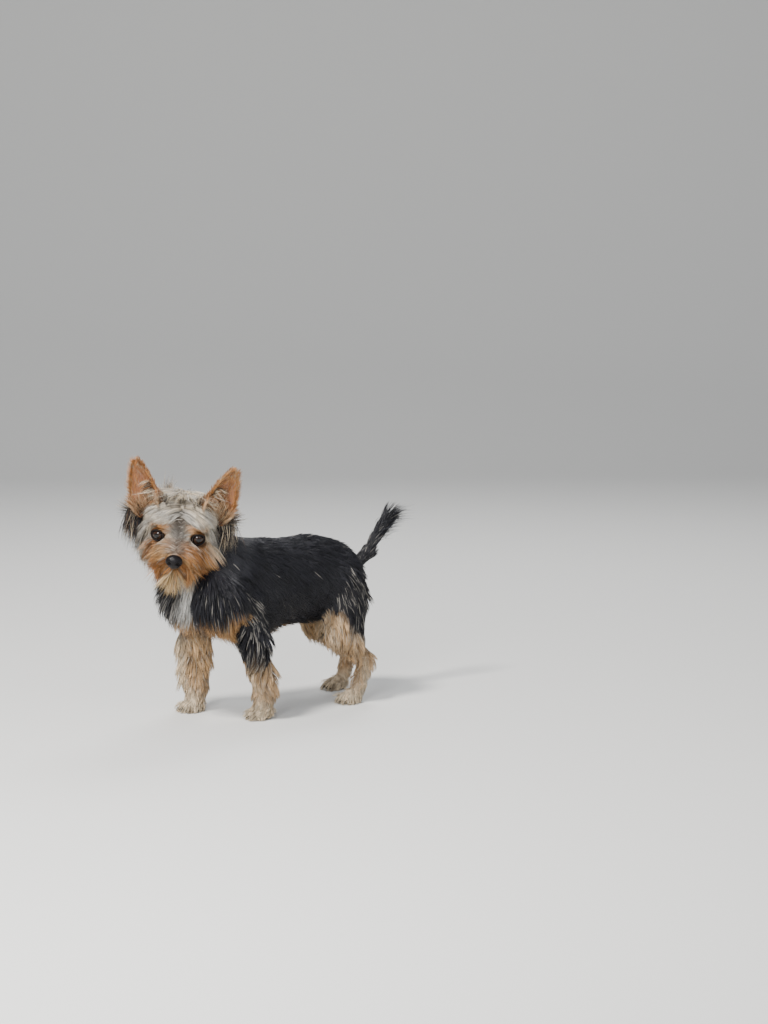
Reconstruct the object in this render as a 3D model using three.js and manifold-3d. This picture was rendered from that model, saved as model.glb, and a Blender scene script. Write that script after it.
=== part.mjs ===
// A Yorkshire terrier in a clipped coat, standing on four paws with its head turned to its left, life size.
// Millimetres, +Z up. The dog faces -Y and its left side is +X. It stands on z = 0.
import * as THREE from "three";
import { mergeVertices } from "three/addons/utils/BufferGeometryUtils.js";
import Module from "manifold-3d";

const wasm = await Module();
wasm.setup();

// Driving sizes
const WITHERS = 212; // top of the coat over the shoulders
const TRUNK_HALF_WIDTH = 54;
const ELBOW = 92; // height of the elbow
const FRONT_STANCE = 45; // half the distance between the front paws
const HIND_STANCE = 40;
const FRONT_LEFT_Y = -66;
const FRONT_RIGHT_Y = -101; // this paw is a short step ahead
const HIND_LEFT_Y = 77;
const HIND_RIGHT_Y = 120; // this paw is set back
const HEAD_PLACE = new THREE.Vector3(-3, -147, 234); // centre of the skull
const HEAD_YAW = 49; // degrees to the dog's left
const HEAD_PITCH = 14; // nose down
const HEAD_ROLL = 7; // left ear lower
const EYE_RADIUS = 8;
const EYE_SPACING = 45; // centre to centre
const EAR_LENGTH = 54;
const EAR_LEAN_LEFT = 23; // degrees outward
const EAR_LEAN_RIGHT = 25;
const EAR_WIDTH = 42;
const TAIL_LENGTH = 68;
const WRIST_CUT = 27; // height where a front paw is parted from its leg
const HOCK_CUT = 44; // and a hind paw from the shank
const KNEE_CUT = 86; // and the shank from the thigh
const GAP = 0.3; // kept between two nodes
const SEED = 11;

const UP = new THREE.Vector3(0, 0, 1);
const SIDEWAYS = new THREE.Vector3(1, 0, 0);
const DEGREE = Math.PI / 180;
const at = (x, y, z) => new THREE.Vector3(x, y, z);

// Seeded draws, so that every build is the same
let drawn = SEED;
function draw(low, high) {
  drawn = (drawn * 1664525 + 1013904223) % 4294967296;
  return low + ((high - low) * drawn) / 4294967296;
}

// Fields: each gives the distance of a point from a surface, negative inside
const ball = (centre, radius) => (p) => p.distanceTo(centre) - radius;

function egg(centre, radii) {
  return (p) => {
    const q = p.clone().sub(centre).divide(radii);
    const scale = q.length();
    return (scale * (scale - 1)) / Math.max(q.divide(radii).length(), 1e-9);
  };
}

// A limb is a round cone between two joints.
function limb(start, startRadius, end, endRadius) {
  const axis = end.clone().sub(start);
  const lengthSq = axis.lengthSq();
  return (p) => {
    const share = THREE.MathUtils.clamp(p.clone().sub(start).dot(axis) / lengthSq, 0, 1);
    const nearest = start.clone().addScaledVector(axis, share);
    return p.distanceTo(nearest) - THREE.MathUtils.lerp(startRadius, endRadius, share);
  };
}

function blended(softness, fields) {
  return (p) =>
    fields
      .map((field) => field(p))
      .reduce((a, b) => {
        const near = Math.max(softness - Math.abs(a - b), 0) / softness;
        return Math.min(a, b) - (near * near * softness) / 4;
      });
}

// The outermost point of a field on a ray, and the way out of the surface there
const REACH = 110;
function surfacePoint(field, from, direction, grow = 0) {
  let distance = REACH;
  for (let i = 0; i < 90; i++) {
    const gap = field(from.clone().addScaledVector(direction, distance)) - grow;
    if (gap < 0.01 || distance <= 0.5) break;
    distance -= gap * 0.9;
  }
  return from.clone().addScaledVector(direction, Math.max(distance, 0.5));
}

function wayOut(field, p) {
  const step = 0.5;
  const slope = (axis) =>
    field(p.clone().addScaledVector(axis, step)) - field(p.clone().addScaledVector(axis, -step));
  return at(slope(at(1, 0, 0)), slope(at(0, 1, 0)), slope(at(0, 0, 1))).normalize();
}

// Closed geometry from rings of points, with one point at each end
function fromRings(startTip, rings, endTip) {
  const sides = rings[0].length;
  const points = [startTip, ...rings.flat(), endTip];
  const last = points.length - 1;
  const ringPoint = (ring, side) => 1 + ring * sides + (side % sides);
  const faces = [];
  for (let side = 0; side < sides; side++) {
    faces.push(0, ringPoint(0, side + 1), ringPoint(0, side));
    for (let ring = 0; ring + 1 < rings.length; ring++) {
      const [a, b] = [ringPoint(ring, side), ringPoint(ring, side + 1)];
      const [c, d] = [ringPoint(ring + 1, side), ringPoint(ring + 1, side + 1)];
      faces.push(a, b, d, a, d, c);
    }
    faces.push(ringPoint(rings.length - 1, side), ringPoint(rings.length - 1, side + 1), last);
  }
  const geometry = new THREE.BufferGeometry().setFromPoints(points);
  geometry.setIndex(faces);
  return geometry;
}

// A capsule round a spine, whose every ray is carried out to the field's surface
function wrapped(field, spine, { sides, rings, caps = 3, grow = 0 }) {
  const line = new THREE.CatmullRomCurve3(spine);
  const ringAt = (centre, tangent, tilt) => {
    const high = tangent.clone().cross(SIDEWAYS).normalize();
    const side = high.clone().cross(tangent).normalize();
    return Array.from({ length: sides }, (_, i) => {
      const turn = (2 * Math.PI * i) / sides;
      const direction = side
        .clone()
        .multiplyScalar(Math.cos(turn) * Math.cos(tilt))
        .addScaledVector(high, Math.sin(turn) * Math.cos(tilt))
        .addScaledVector(tangent, Math.sin(tilt));
      return surfacePoint(field, centre, direction, grow);
    });
  };
  const [first, last] = [line.getPointAt(0), line.getPointAt(1)];
  const [firstWay, lastWay] = [line.getTangentAt(0), line.getTangentAt(1)];
  const tilts = Array.from({ length: caps }, (_, i) => (Math.PI / 2) * (1 - (i + 1) / (caps + 1)));
  const made = [
    ...tilts.map((tilt) => ringAt(first, firstWay, -tilt)),
    ...Array.from({ length: rings }, (_, i) =>
      ringAt(line.getPointAt(i / (rings - 1)), line.getTangentAt(i / (rings - 1)), 0),
    ),
    ...tilts.reverse().map((tilt) => ringAt(last, lastWay, tilt)),
  ];
  return fromRings(
    surfacePoint(field, first, firstWay.clone().negate(), grow),
    made,
    surfacePoint(field, last, lastWay, grow),
  );
}

// One flat lock of hair: it leaves the skin at root, bends over to lie along its way and tapers to a point.
const LOCK_TAPER = [0.85, 1, 0.65];
const LOCK_ROOT_DEPTH = 4;
function lock({ root, out, lie, length, width, thick, lift = 0.6, grow = 0 }) {
  const steps = LOCK_TAPER.length;
  const stride = length / (steps - 0.5);
  const flat = lie.clone().addScaledVector(out, -lie.dot(out) * 0.8).normalize();
  const sections = [];
  let place = root.clone().addScaledVector(out, -LOCK_ROOT_DEPTH);
  let way;
  for (let i = 0; i < steps; i++) {
    const rise = lift * (1 - i / steps);
    way = flat.clone().lerp(lie, i / steps).addScaledVector(out, rise).normalize();
    const across = way.clone().cross(out).normalize();
    const over = across.clone().cross(way).normalize();
    const half = (width * LOCK_TAPER[i]) / 2 + grow * 5;
    const height = thick * LOCK_TAPER[i] + grow * 1.5;
    sections.push([
      place.clone().addScaledVector(across, -half).addScaledVector(over, -grow),
      place.clone().addScaledVector(over, height),
      place.clone().addScaledVector(across, half).addScaledVector(over, -grow),
    ]);
    place = place.clone().addScaledVector(way, i === 0 ? LOCK_ROOT_DEPTH + stride * 0.4 : stride);
  }
  const tip = place.addScaledVector(way, grow * 4);
  const first = sections[0];
  const back = out.clone().multiplyScalar(-grow);
  first.forEach((corner) => corner.add(back));
  const base = first[0].clone().add(first[2]).multiplyScalar(0.5);
  return fromRings(base, sections, tip);
}

// Rows of locks round a stretch of a body: each root is where a ray from the spine meets the field.
// Turns are degrees round the spine: 0 is the dog's left, 90 is up, or behind on an upright spine.
function coat(field, { from, to, rows, turns, lie, length, width, thick = 4, lift, stagger = 0.5 }) {
  const axis = to.clone().sub(from).normalize();
  const high = axis.clone().cross(SIDEWAYS).normalize();
  const isLevel = Math.abs(high.z) > 0.5;
  if (isLevel ? high.z < 0 : high.y < 0) high.negate();
  const side = axis.clone().cross(high).normalize();
  if (side.x < 0) side.negate();
  const made = [];
  for (let row = 0; row < rows; row++) {
    turns.forEach((turn, i) => {
      const step = turns.length > 1 ? Math.abs(turns[1] - turns[0]) : 0;
      const angle = (turn + (row % 2 ? step * stagger : 0) + draw(-4, 4)) * DEGREE;
      const share = rows > 1 ? row / (rows - 1) : 0.5;
      const direction = side
        .clone()
        .multiplyScalar(Math.cos(angle))
        .addScaledVector(high, Math.sin(angle));
      const root = surfacePoint(field, from.clone().lerp(to, share), direction);
      const out = wayOut(field, root);
      const way = (typeof lie === "function" ? lie(root, out, share) : lie.clone()).normalize();
      way.add(at(draw(-0.08, 0.08), draw(-0.08, 0.08), draw(-0.08, 0.08))).normalize();
      made.push({
        root,
        out,
        lie: way,
        length: length * draw(0.88, 1.12),
        width: width * draw(0.9, 1.1),
        thick,
        lift: (lift ?? 0.5) * draw(0.8, 1.2),
      });
    });
  }
  return made;
}

// Solids
function solid(geometry) {
  const plain = new THREE.BufferGeometry().setAttribute("position", geometry.getAttribute("position"));
  if (geometry.index) plain.setIndex(geometry.index);
  const merged = mergeVertices(plain, 1e-4);
  return new wasm.Manifold(
    new wasm.Mesh({
      numProp: 3,
      vertProperties: merged.attributes.position.array,
      triVerts: new Uint32Array(merged.index.array),
    }),
  );
}

const joined = (solids) => solids.reduce((a, b) => a.add(b));

function largest(made) {
  return made.decompose().reduce((a, b) => (a.volume() > b.volume() ? a : b));
}

function geometryOf(made) {
  const { numProp, numVert, vertProperties, triVerts } = made.getMesh();
  const places = new Float32Array(numVert * 3);
  for (let i = 0; i < numVert; i++) {
    places.set(vertProperties.subarray(i * numProp, i * numProp + 3), i * 3);
  }
  const geometry = new THREE.BufferGeometry();
  geometry.setAttribute("position", new THREE.BufferAttribute(places, 3));
  geometry.setIndex(new THREE.BufferAttribute(triVerts, 1));
  return geometry;
}

// Torso
const torsoField = blended(24, [
  egg(at(0, -50, 150), at(TRUNK_HALF_WIDTH, 66, 58)), // rib cage
  ...[1, -1].map((side) => ball(at(side * 31, -111, 147), 38)), // shoulders and forechest
  limb(at(0, -62, WITHERS - 44), 43, at(0, 40, WITHERS - 48), 46), // back
  egg(at(0, 30, 150), at(50, 74, 50)), // belly and loin
  egg(at(0, 80, 149), at(47, 36, 48)), // haunches
]);
const torsoSpine = [at(0, -100, 148), at(0, -20, 152), at(0, 84, 152)];

// Neck, from the shoulders to the skull
const neckField = limb(at(0, -88, 172), 48, HEAD_PLACE.clone().add(at(-9, 15, -15)), 36);
const neckSpine = [at(3, -84, 174), HEAD_PLACE.clone().add(at(-3, 20, -14))];

// Legs. Each has its joints in order from the top.
function frontLeg(side, pawY) {
  const x = side * FRONT_STANCE;
  const shoulder = at(side * 37, pawY * 0.4 - 58, 138);
  const elbow = at(side * 44, pawY * 0.6 - 37, ELBOW);
  const wrist = at(x, pawY + 6, 30);
  return {
    spine: [shoulder, elbow, wrist, at(x, pawY + 4, 17)],
    field: blended(9, [
      limb(shoulder, 26, elbow, 20),
      limb(elbow, 19, wrist, 12),
      limb(wrist, 12, at(x, pawY + 2, 14), 11.5),
    ]),
    paw: at(x, pawY, 0),
  };
}

function hindLeg(side, pawY) {
  const back = pawY - HIND_LEFT_Y;
  const hip = at(side * 25, 71 + back * 0.2, 148);
  const knee = at(side * 39, 60 + back * 0.55, 92 + back * 0.05);
  const hock = at(side * 41, 101 + back * 0.95, 50);
  const heel = at(side * HIND_STANCE, pawY + 12, 18);
  return {
    spine: [hip, knee.clone().add(at(0, 9, 2)), hock.clone().add(at(0, -3, 0)), heel],
    field: blended(10, [
      limb(hip, 34, knee, 21),
      limb(hip.clone().add(at(side * 4, 15, -18)), 23, hock.clone().add(at(0, -14, 32)), 12),
      limb(knee, 19, hock, 10),
      limb(hock, 10, heel, 9.5),
    ]),
    paw: at(side * HIND_STANCE, pawY, 0),
  };
}

// A paw: pad, four toes and the arch behind them. Its sole is cut flat on the ground.
const PAW_LENGTH = 32;
const PAW_WIDTH = 25;
function pawField(centre) {
  const toes = [-0.34, -0.12, 0.12, 0.34].map((share) =>
    egg(
      centre.clone().add(at(PAW_WIDTH * share, -PAW_LENGTH * (0.34 - Math.abs(share) * 0.35), 6)),
      at(4.6, 8.5, 7),
    ),
  );
  return blended(3, [egg(centre.clone().add(at(0, 2, 8)), at(PAW_WIDTH * 0.44, 14, 10.5)), ...toes]);
}

const legs = [
  { name: "front_left", side: 1, ...frontLeg(1, FRONT_LEFT_Y) },
  { name: "front_right", side: -1, ...frontLeg(-1, FRONT_RIGHT_Y) },
  { name: "hind_left", side: 1, hind: true, ...hindLeg(1, HIND_LEFT_Y) },
  { name: "hind_right", side: -1, hind: true, ...hindLeg(-1, HIND_RIGHT_Y) },
];

// Tail, carried high
const tailRoot = at(0, 121, 163);
const tailTip = tailRoot.clone().add(at(4, TAIL_LENGTH * 0.62, TAIL_LENGTH * 0.78));
const tailField = blended(5, [
  limb(tailRoot.clone().add(at(0, -16, -6)), 13, tailRoot.clone().add(at(0, 14, 12)), 11),
  limb(tailRoot.clone().add(at(0, 14, 12)), 10.5, tailTip, 7.5),
]);
const tailSpine = [tailRoot.clone().add(at(0, -14, -6)), tailRoot.clone().add(at(0, 14, 12)), tailTip];

// Head, in its own frame: it faces -Y, and its left is +X
const headMatrix = new THREE.Matrix4()
  .makeTranslation(HEAD_PLACE.x, HEAD_PLACE.y, HEAD_PLACE.z)
  .multiply(new THREE.Matrix4().makeRotationZ(HEAD_YAW * DEGREE))
  .multiply(new THREE.Matrix4().makeRotationX(HEAD_PITCH * DEGREE))
  .multiply(new THREE.Matrix4().makeRotationY(HEAD_ROLL * DEGREE));
const NOSE_PLACE = at(0, -61, -23);
const eyePlace = (side) => at((side * EYE_SPACING) / 2, -26, -3);
const both = (make) => [1, -1].map(make);
const headField = blended(9, [
  egg(at(0, 2, 4), at(37, 38, 32)), // skull
  limb(at(0, -22, -12), 20, at(0, -49, -20), 13.5), // muzzle
  limb(at(0, -18, -25), 14, at(0, -46, -30), 8.5), // lower jaw
  ...both((side) => ball(at(side * 15, -22, 9), 12)), // brows
  ...both((side) => ball(at(side * 20, -12, -13), 15)), // cheeks
  ...both((side) => ball(at(side * 8, -46, -22), 9)), // lips
]);
const headSpine = [at(0, 12, 0), at(0, -14, -4), at(0, -44, -18)];

// Nose leather, with two nostrils and the groove between them
const NOSE_WIDTH = 20;
const noseField = blended(5, [
  egg(NOSE_PLACE.clone().add(at(0, 2, 1)), at(NOSE_WIDTH / 2, 8, 7.5)),
  egg(NOSE_PLACE.clone().add(at(0, 3, -5)), at(5, 6, 6)),
]);

function noseSolid(grow) {
  const spine = [NOSE_PLACE.clone().add(at(0, 6, 0)), NOSE_PLACE.clone().add(at(0, -1, 0))];
  const whole = solid(wrapped(noseField, spine, { sides: 16, rings: 3, caps: 3, grow }));
  if (grow) return whole;
  const nostrils = both((side) => {
    const middle = NOSE_PLACE.clone().add(at(side * 4.6, -4, 0));
    const path = [at(side * -1.4, -3, 0.4), at(side * 0.6, 0, 0.6), at(side * 4.5, 4, -2.5)];
    const spineOf = path.map((step) => middle.clone().add(step));
    const hole = blended(2, [
      limb(spineOf[0], 2.1, spineOf[1], 1.8),
      limb(spineOf[1], 1.6, spineOf[2], 1.1),
    ]);
    return solid(wrapped(hole, [spineOf[0], spineOf[1]], { sides: 8, rings: 3, caps: 2 }));
  });
  const groove = new THREE.BoxGeometry(1, 5, 12);
  groove.translate(NOSE_PLACE.x, NOSE_PLACE.y - 7.5, NOSE_PLACE.z - 7);
  return joined([whole]).subtract(joined([...nostrils, solid(groove)]));
}

// Eyelids: a skin round each eyeball, open in an almond in front
const LID = 1.5;
const BALL_STEPS = [14, 9];
function eyeGaze(side) {
  return new THREE.Matrix4()
    .makeTranslation(...eyePlace(side).toArray())
    .multiply(new THREE.Matrix4().makeRotationZ(side * 16 * DEGREE))
    .multiply(new THREE.Matrix4().makeRotationX(4 * DEGREE));
}

function almond(side) {
  const [halfWidth, halfHeight] = [7.6, 5.4];
  const outline = new THREE.Shape();
  outline.moveTo(-halfWidth, -0.8);
  outline.quadraticCurveTo(-halfWidth * 0.35, halfHeight * 1.8, halfWidth, 0.4);
  outline.quadraticCurveTo(halfWidth * 0.2, -halfHeight * 1.75, -halfWidth, -0.8);
  const cut = new THREE.ExtrudeGeometry(outline, { depth: 22, bevelEnabled: false, curveSegments: 6 });
  cut.scale(side, 1, 1);
  cut.rotateX(90 * DEGREE);
  const made = side < 0 ? flipped(cut) : cut;
  return made.applyMatrix4(eyeGaze(side));
}

// A mirrored geometry's faces are turned round again.
function flipped(geometry) {
  const plain = geometry.index ? geometry.toNonIndexed() : geometry;
  const places = plain.getAttribute("position");
  for (let i = 0; i < places.count; i += 3) {
    const [a, b] = [i + 1, i + 2].map((k) => new THREE.Vector3().fromBufferAttribute(places, k));
    places.setXYZ(i + 1, b.x, b.y, b.z);
    places.setXYZ(i + 2, a.x, a.y, a.z);
  }
  return plain;
}

function eyeball(side, grow = 0) {
  const shape = new THREE.SphereGeometry(EYE_RADIUS + grow, ...BALL_STEPS);
  shape.translate(...eyePlace(side).toArray());
  return solid(shape);
}

const lidBall = (side) => {
  const shape = new THREE.SphereGeometry(EYE_RADIUS + GAP + LID, ...BALL_STEPS);
  shape.translate(...eyePlace(side).toArray());
  return solid(shape);
};

// The line of the mouth, cut round the muzzle under the lips
function mouthLine() {
  const points = [
    at(21, -28, -30),
    at(17, -41, -32),
    at(9, -54, -31),
    at(0, -60, -29.5),
    at(-9, -54, -31),
    at(-17, -41, -32),
    at(-21, -28, -30),
  ];
  const cut = new THREE.Shape([
    new THREE.Vector2(-0.8, -4),
    new THREE.Vector2(0.8, -4),
    new THREE.Vector2(0.8, 4),
    new THREE.Vector2(-0.8, 4),
  ]);
  const curve = new THREE.CatmullRomCurve3(points);
  return solid(new THREE.ExtrudeGeometry(cut, { steps: 12, extrudePath: curve, bevelEnabled: false }));
}

const outward = (side, x, y, z) => at(side * x, y, z);
const sidesOf = (turns, side) => turns.map((turn) => (side > 0 ? turn : 180 - turn));

// Long hair of the head
function headCoat() {
  const eachSide = (side) => [
    ...coat(headField, {
      from: at(0, -30, -16), to: at(0, -48, -20), rows: 2, turns: sidesOf([-34, -4, 24], side),
      lie: outward(side, 0.6, 0.1, -0.9), length: 34, width: 19, lift: 1, stagger: 0,
    }), // whiskers on the sides of the muzzle
    ...coat(headField, {
      from: at(0, -14, -12), to: at(0, 0, -10), rows: 2, turns: sidesOf([-42, -14], side),
      lie: outward(side, 0.5, 0.25, -0.9), length: 42, width: 21, lift: 0.8, stagger: 0,
    }), // cheeks
    ...coat(headField, {
      from: at(0, -16, 0), to: at(0, 4, 0), rows: 2, turns: sidesOf([40, 66], side), stagger: 0,
      lie: (root, out, share) => outward(side, 0.9, -0.3 + share * 0.3, -0.45),
      length: 30, width: 18, lift: 0.5,
    }), // forehead, parted down the middle
    ...coat(headField, {
      from: at(0, -4, 2), to: at(0, 16, 2), rows: 3, turns: sidesOf([8], side), stagger: 0,
      lie: outward(side, 0.3, 0.15, -1), length: 46, width: 19, lift: 0.45,
    }), // long hair that hangs behind the eyes
  ];
  return [
    ...both(eachSide).flat(),
    ...coat(headField, {
      from: at(0, -26, -26), to: at(0, -45, -30), rows: 2, turns: [-130, -90, -50], stagger: 0,
      lie: (root) => at(root.x * 0.04, -0.15, -1), length: 32, width: 20, lift: 0.4,
    }), // beard
    ...coat(headField, {
      from: at(0, 8, 2), to: at(0, -14, 0), rows: 2, turns: [76, 104], stagger: 0,
      lie: (root) => at(root.x * 0.08, 0.25, 0.5), length: 27, width: 18, lift: 1.1,
    }), // crown
    ...coat(headField, {
      from: at(0, 14, 10), to: at(0, 14, -8), rows: 2, turns: [150, 30], stagger: 0,
      lie: at(0, 0.55, -0.85), length: 34, width: 20, lift: 0.4,
    }), // nape
  ];
}

// Ears: a cup of skin, two millimetres thick, open to the front
const EAR_THICKNESS = 2.2;
function earMatrix(side) {
  const lean = side > 0 ? EAR_LEAN_LEFT : EAR_LEAN_RIGHT;
  return new THREE.Matrix4()
    .makeTranslation(side * 32, 2, 12)
    .multiply(new THREE.Matrix4().makeRotationY(side * lean * DEGREE))
    .multiply(new THREE.Matrix4().makeRotationZ(side * 14 * DEGREE));
}

const earHalfWidth = (share) => (EAR_WIDTH / 2) * Math.pow(1 - Math.pow(share, 1.5), 0.72);
const earOpening = (share) => (72 - 30 * share) * DEGREE; // half of the arc that the cup takes up
const earRadius = (share) => earHalfWidth(share) / Math.sin(earOpening(share));
const EAR_FULL = EAR_LENGTH + 12; // with the root, which the skull trims
function earPoint(across, share, back) {
  const opening = earOpening(share);
  const radius = earRadius(share);
  const turn = across * opening;
  const reach = radius + (back ? EAR_THICKNESS : 0);
  return at(reach * Math.sin(turn), radius - reach * Math.cos(turn), 0)
    .multiply(at(1, -1, 1))
    .add(at(0, 6 * share * share, share * EAR_FULL));
}

function earShell() {
  const [acrossSteps, upSteps] = [8, 8];
  const rings = [];
  for (let up = 0; up < upSteps; up++) {
    const share = (up / upSteps) * 0.995;
    const inner = [];
    const outer = [];
    for (let i = 0; i <= acrossSteps; i++) {
      const across = (2 * i) / acrossSteps - 1;
      inner.push(earPoint(across, share, false));
      outer.push(earPoint(across, share, true));
    }
    rings.push([...inner, ...outer.reverse()]);
  }
  return { rings, tip: earPoint(0, 0.99, false).add(at(0, 1, 2.5)) };
}

function earSolid(side) {
  const { rings, tip } = earShell();
  const points = [...rings.flat(), tip];
  const sides = rings[0].length;
  const half = sides / 2;
  const faces = [];
  const index = (ring, i) => ring * sides + (i % sides);
  for (let ring = 0; ring + 1 < rings.length; ring++) {
    for (let i = 0; i < sides; i++) {
      const [a, b] = [index(ring, i), index(ring, i + 1)];
      const [c, d] = [index(ring + 1, i), index(ring + 1, i + 1)];
      if (i < half) faces.push(a, b, d, a, d, c);
      else faces.push(a, b, c, b, d, c);
    }
  }
  for (let i = 0; i < sides; i++) {
    faces.push(index(rings.length - 1, i), index(rings.length - 1, i + 1), points.length - 1);
  }
  for (let i = 0; i + 1 < half; i++) {
    const [a, b, c, d] = [i, i + 1, sides - 1 - i, sides - 2 - i];
    faces.push(a, c, b, b, c, d);
  }
  const geometry = new THREE.BufferGeometry().setFromPoints(points);
  geometry.setIndex(faces);
  const placed = geometry.applyMatrix4(earMatrix(side));
  const made = solid(placed);
  return made.volume() < 0 ? solid(flipped(placed)) : made;
}

// Hair at the foot of each ear and across its cup
function earCoat(side) {
  const place = earMatrix(side);
  const put = (across, share, back, lie, length) => {
    const root = earPoint(across, share, back).applyMatrix4(place);
    const axis = at(0, -earRadius(share), share * EAR_FULL).applyMatrix4(place);
    const out = root.clone().sub(axis).normalize().multiplyScalar(back ? 1 : -1);
    return {
      root, out, lie: outward(side, ...lie).normalize(), length, width: 11, thick: 3, lift: 0.25,
    };
  };
  return [
    put(side * 0.9, 0.2, true, [0.45, 0.15, -0.9], 24),
    put(side * 0.95, 0.36, true, [0.5, 0.1, -0.8], 22),
    put(side * -0.85, 0.3, true, [-0.3, -0.2, 0.9], 20),
  ];
}

// Locks of the trunk and legs
function torsoCoat() {
  return [
    ...coat(torsoField, {
      from: at(2, -100, 148), to: at(2, -98, 112), rows: 3, turns: [-134, -105, -75, -46], stagger: 0.3,
      lie: (root) => at(root.x * 0.006, -0.25, -1), length: 32, width: 19, lift: 0.35,
    }), // chest
    ...both((side) =>
      coat(torsoField, {
        from: at(0, -24, 140), to: at(0, 44, 146), rows: 4, turns: sidesOf([-56], side), stagger: 0,
        lie: outward(side, 0.1, 0.55, -0.8), length: 26, width: 19, lift: 0.3,
      }),
    ).flat(), // lower edge of the flanks
    ...both((side) =>
      coat(torsoField, {
        from: at(0, -106, 146), to: at(0, -84, 140), rows: 2, turns: sidesOf([-30, -2], side), stagger: 0,
        lie: outward(side, 0.15, 0.3, -0.95), length: 30, width: 21, lift: 0.35,
      }),
    ).flat(), // sides of the chest
  ];
}

// Hair of the legs, longest behind and outside
function foreCoat(leg) {
  return coat(leg.field, {
    from: leg.spine[1].clone().add(at(0, 0, 8)), to: leg.spine[2].clone().add(at(0, 0, 10)), rows: 3,
    turns: sidesOf([-66, -8, 52, -124], leg.side), stagger: 0.3,
    lie: (root, out) => out.clone().multiplyScalar(0.35).add(at(0, 0.15, -1)),
    length: 34, width: 19, lift: 0.6,
  });
}

function thighCoat(leg) {
  return coat(leg.field, {
    from: leg.spine[0].clone().add(at(0, 6, -20)), to: leg.spine[1].clone().add(at(0, 0, 12)), rows: 2,
    turns: sidesOf([-58, -14, 44], leg.side), stagger: 0.3,
    lie: (root, out) => out.clone().multiplyScalar(0.25).add(at(0, 0.25, -1)),
    length: 28, width: 21, lift: 0.35,
  });
}

function shankCoat(leg) {
  const [knee, hock] = [leg.spine[1], leg.spine[2]];
  return coat(leg.field, {
    from: knee.clone().lerp(hock, 0.25), to: knee.clone().lerp(hock, 0.8), rows: 2,
    turns: sidesOf([-70, 0, 62, 150], leg.side), stagger: 0.3,
    lie: (root, out) => out.clone().multiplyScalar(0.3).add(at(0, 0.2, -1)),
    length: 24, width: 17, lift: 0.4,
  });
}

function pawCoat(leg) {
  return [
    ...coat(pawField(leg.paw), {
      from: leg.paw.clone().add(at(0, 2, 14)), to: leg.paw.clone().add(at(0, -2, 14)), rows: 1,
      turns: [140, 90, 40], stagger: 0,
      lie: (root, out) => out.clone().multiplyScalar(0.5).add(at(0, -0.75, -0.5)),
      length: 14, width: 11, thick: 3, lift: 0.3,
    }),
    ...coat(leg.field, {
      from: leg.paw.clone().add(at(0, 9, 20)), to: leg.paw.clone().add(at(0, 9, 20)), rows: 1,
      turns: sidesOf([-80, 10], leg.side), stagger: 0,
      lie: (root, out) => out.clone().multiplyScalar(0.5).add(at(0, 0.1, -1)),
      length: 15, width: 14, thick: 3, lift: 0.3,
    }),
  ];
}

function tailCoat() {
  const along = tailTip.clone().sub(tailRoot).normalize();
  return [
    ...coat(tailField, {
      from: tailRoot.clone().add(at(0, 16, 14)), to: tailTip.clone().addScaledVector(along, -10), rows: 3,
      turns: [0, 90, 180, 270], stagger: 0.5,
      lie: (root, out) => along.clone().addScaledVector(out, 0.22), length: 27, width: 15, lift: 0.4,
    }),
    ...[-1, 0, 1].map((turn) => ({
      root: tailTip.clone().addScaledVector(along, 5),
      out: along.clone().add(at(turn * 0.4, 0, 0)).normalize(),
      lie: at(turn * 0.5, 0.9, 0.25).normalize(),
      length: 36, width: 6, thick: 4, lift: 1.4,
    })), // long wisps at the tip
  ];
}

// Nodes: each is its core joined with its locks, and is cut clear of the nodes before it.
const hair = (locks, grow, matrix) =>
  joined(
    locks.map((one) => {
      const geometry = lock({ ...one, grow });
      return solid(matrix ? geometry.applyMatrix4(matrix) : geometry);
    }),
  );
const turned = (made, matrix) => made.transform(matrix.elements);
const lessAll = (made, cutters) => cutters.reduce((left, cutter) => left.subtract(cutter), made);

const torsoCore = (grow) =>
  solid(wrapped(torsoField, torsoSpine, { sides: 20, rings: 10, caps: 4, grow }));
const neckCore = (grow) =>
  solid(wrapped(neckField, neckSpine, { sides: 14, rings: 4, caps: 2, grow }));
const tailCore = (grow) =>
  solid(wrapped(tailField, tailSpine, { sides: 9, rings: 6, caps: 2, grow }));
const headCore = (grow) =>
  joined([
    solid(wrapped(headField, headSpine, { sides: 22, rings: 9, caps: 3, grow })),
    ...both(lidBall),
  ]);
const legCore = (leg, grow) =>
  joined([
    solid(wrapped(leg.field, leg.spine, { sides: 11, rings: leg.hind ? 11 : 8, caps: 3, grow })),
    solid(
      wrapped(pawField(leg.paw), [at(0, 8, 8), at(0, -6, 7)].map((place) => place.add(leg.paw)), {
        sides: 16, rings: 3, caps: 2, grow,
      }),
    ),
  ]);

function slab(low, high) {
  const shape = new THREE.BoxGeometry(400, 600, high - low);
  shape.translate(0, 0, (low + high) / 2);
  return solid(shape);
}

// Cores first: each is cut back from the cores before it. Then the hair of each node is cut clear of all
// other cores and of the hair before it, and joined to its own core.
const TOP = 200;
const aroundHead = turned(headCore(GAP), headMatrix);
const aroundTorso = torsoCore(GAP);
const aroundNeck = neckCore(GAP);
const aroundLegs = joined(legs.map((leg) => legCore(leg, GAP)));
const openings = joined([
  ...both((side) => eyeball(side, GAP)),
  ...both((side) => solid(almond(side))),
  mouthLine(),
  noseSolid(GAP),
]);
const parts = {};
let hairBefore = solid(new THREE.BoxGeometry(1, 1, 1).translate(0, 0, -50));

function addNode(name, core, locks, clearOf, matrix, cut) {
  const whole = locks.length ? hair(locks, 0, matrix) : null;
  const clear = whole && lessAll(whole, [...clearOf, hairBefore]);
  let made = clear ? core.add(clear) : core;
  if (cut) made = made.subtract(cut);
  parts[name] = largest(lessAll(made, whole ? [] : [hairBefore]));
  if (locks.length) hairBefore = hairBefore.add(hair(locks, GAP, matrix));
}

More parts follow.
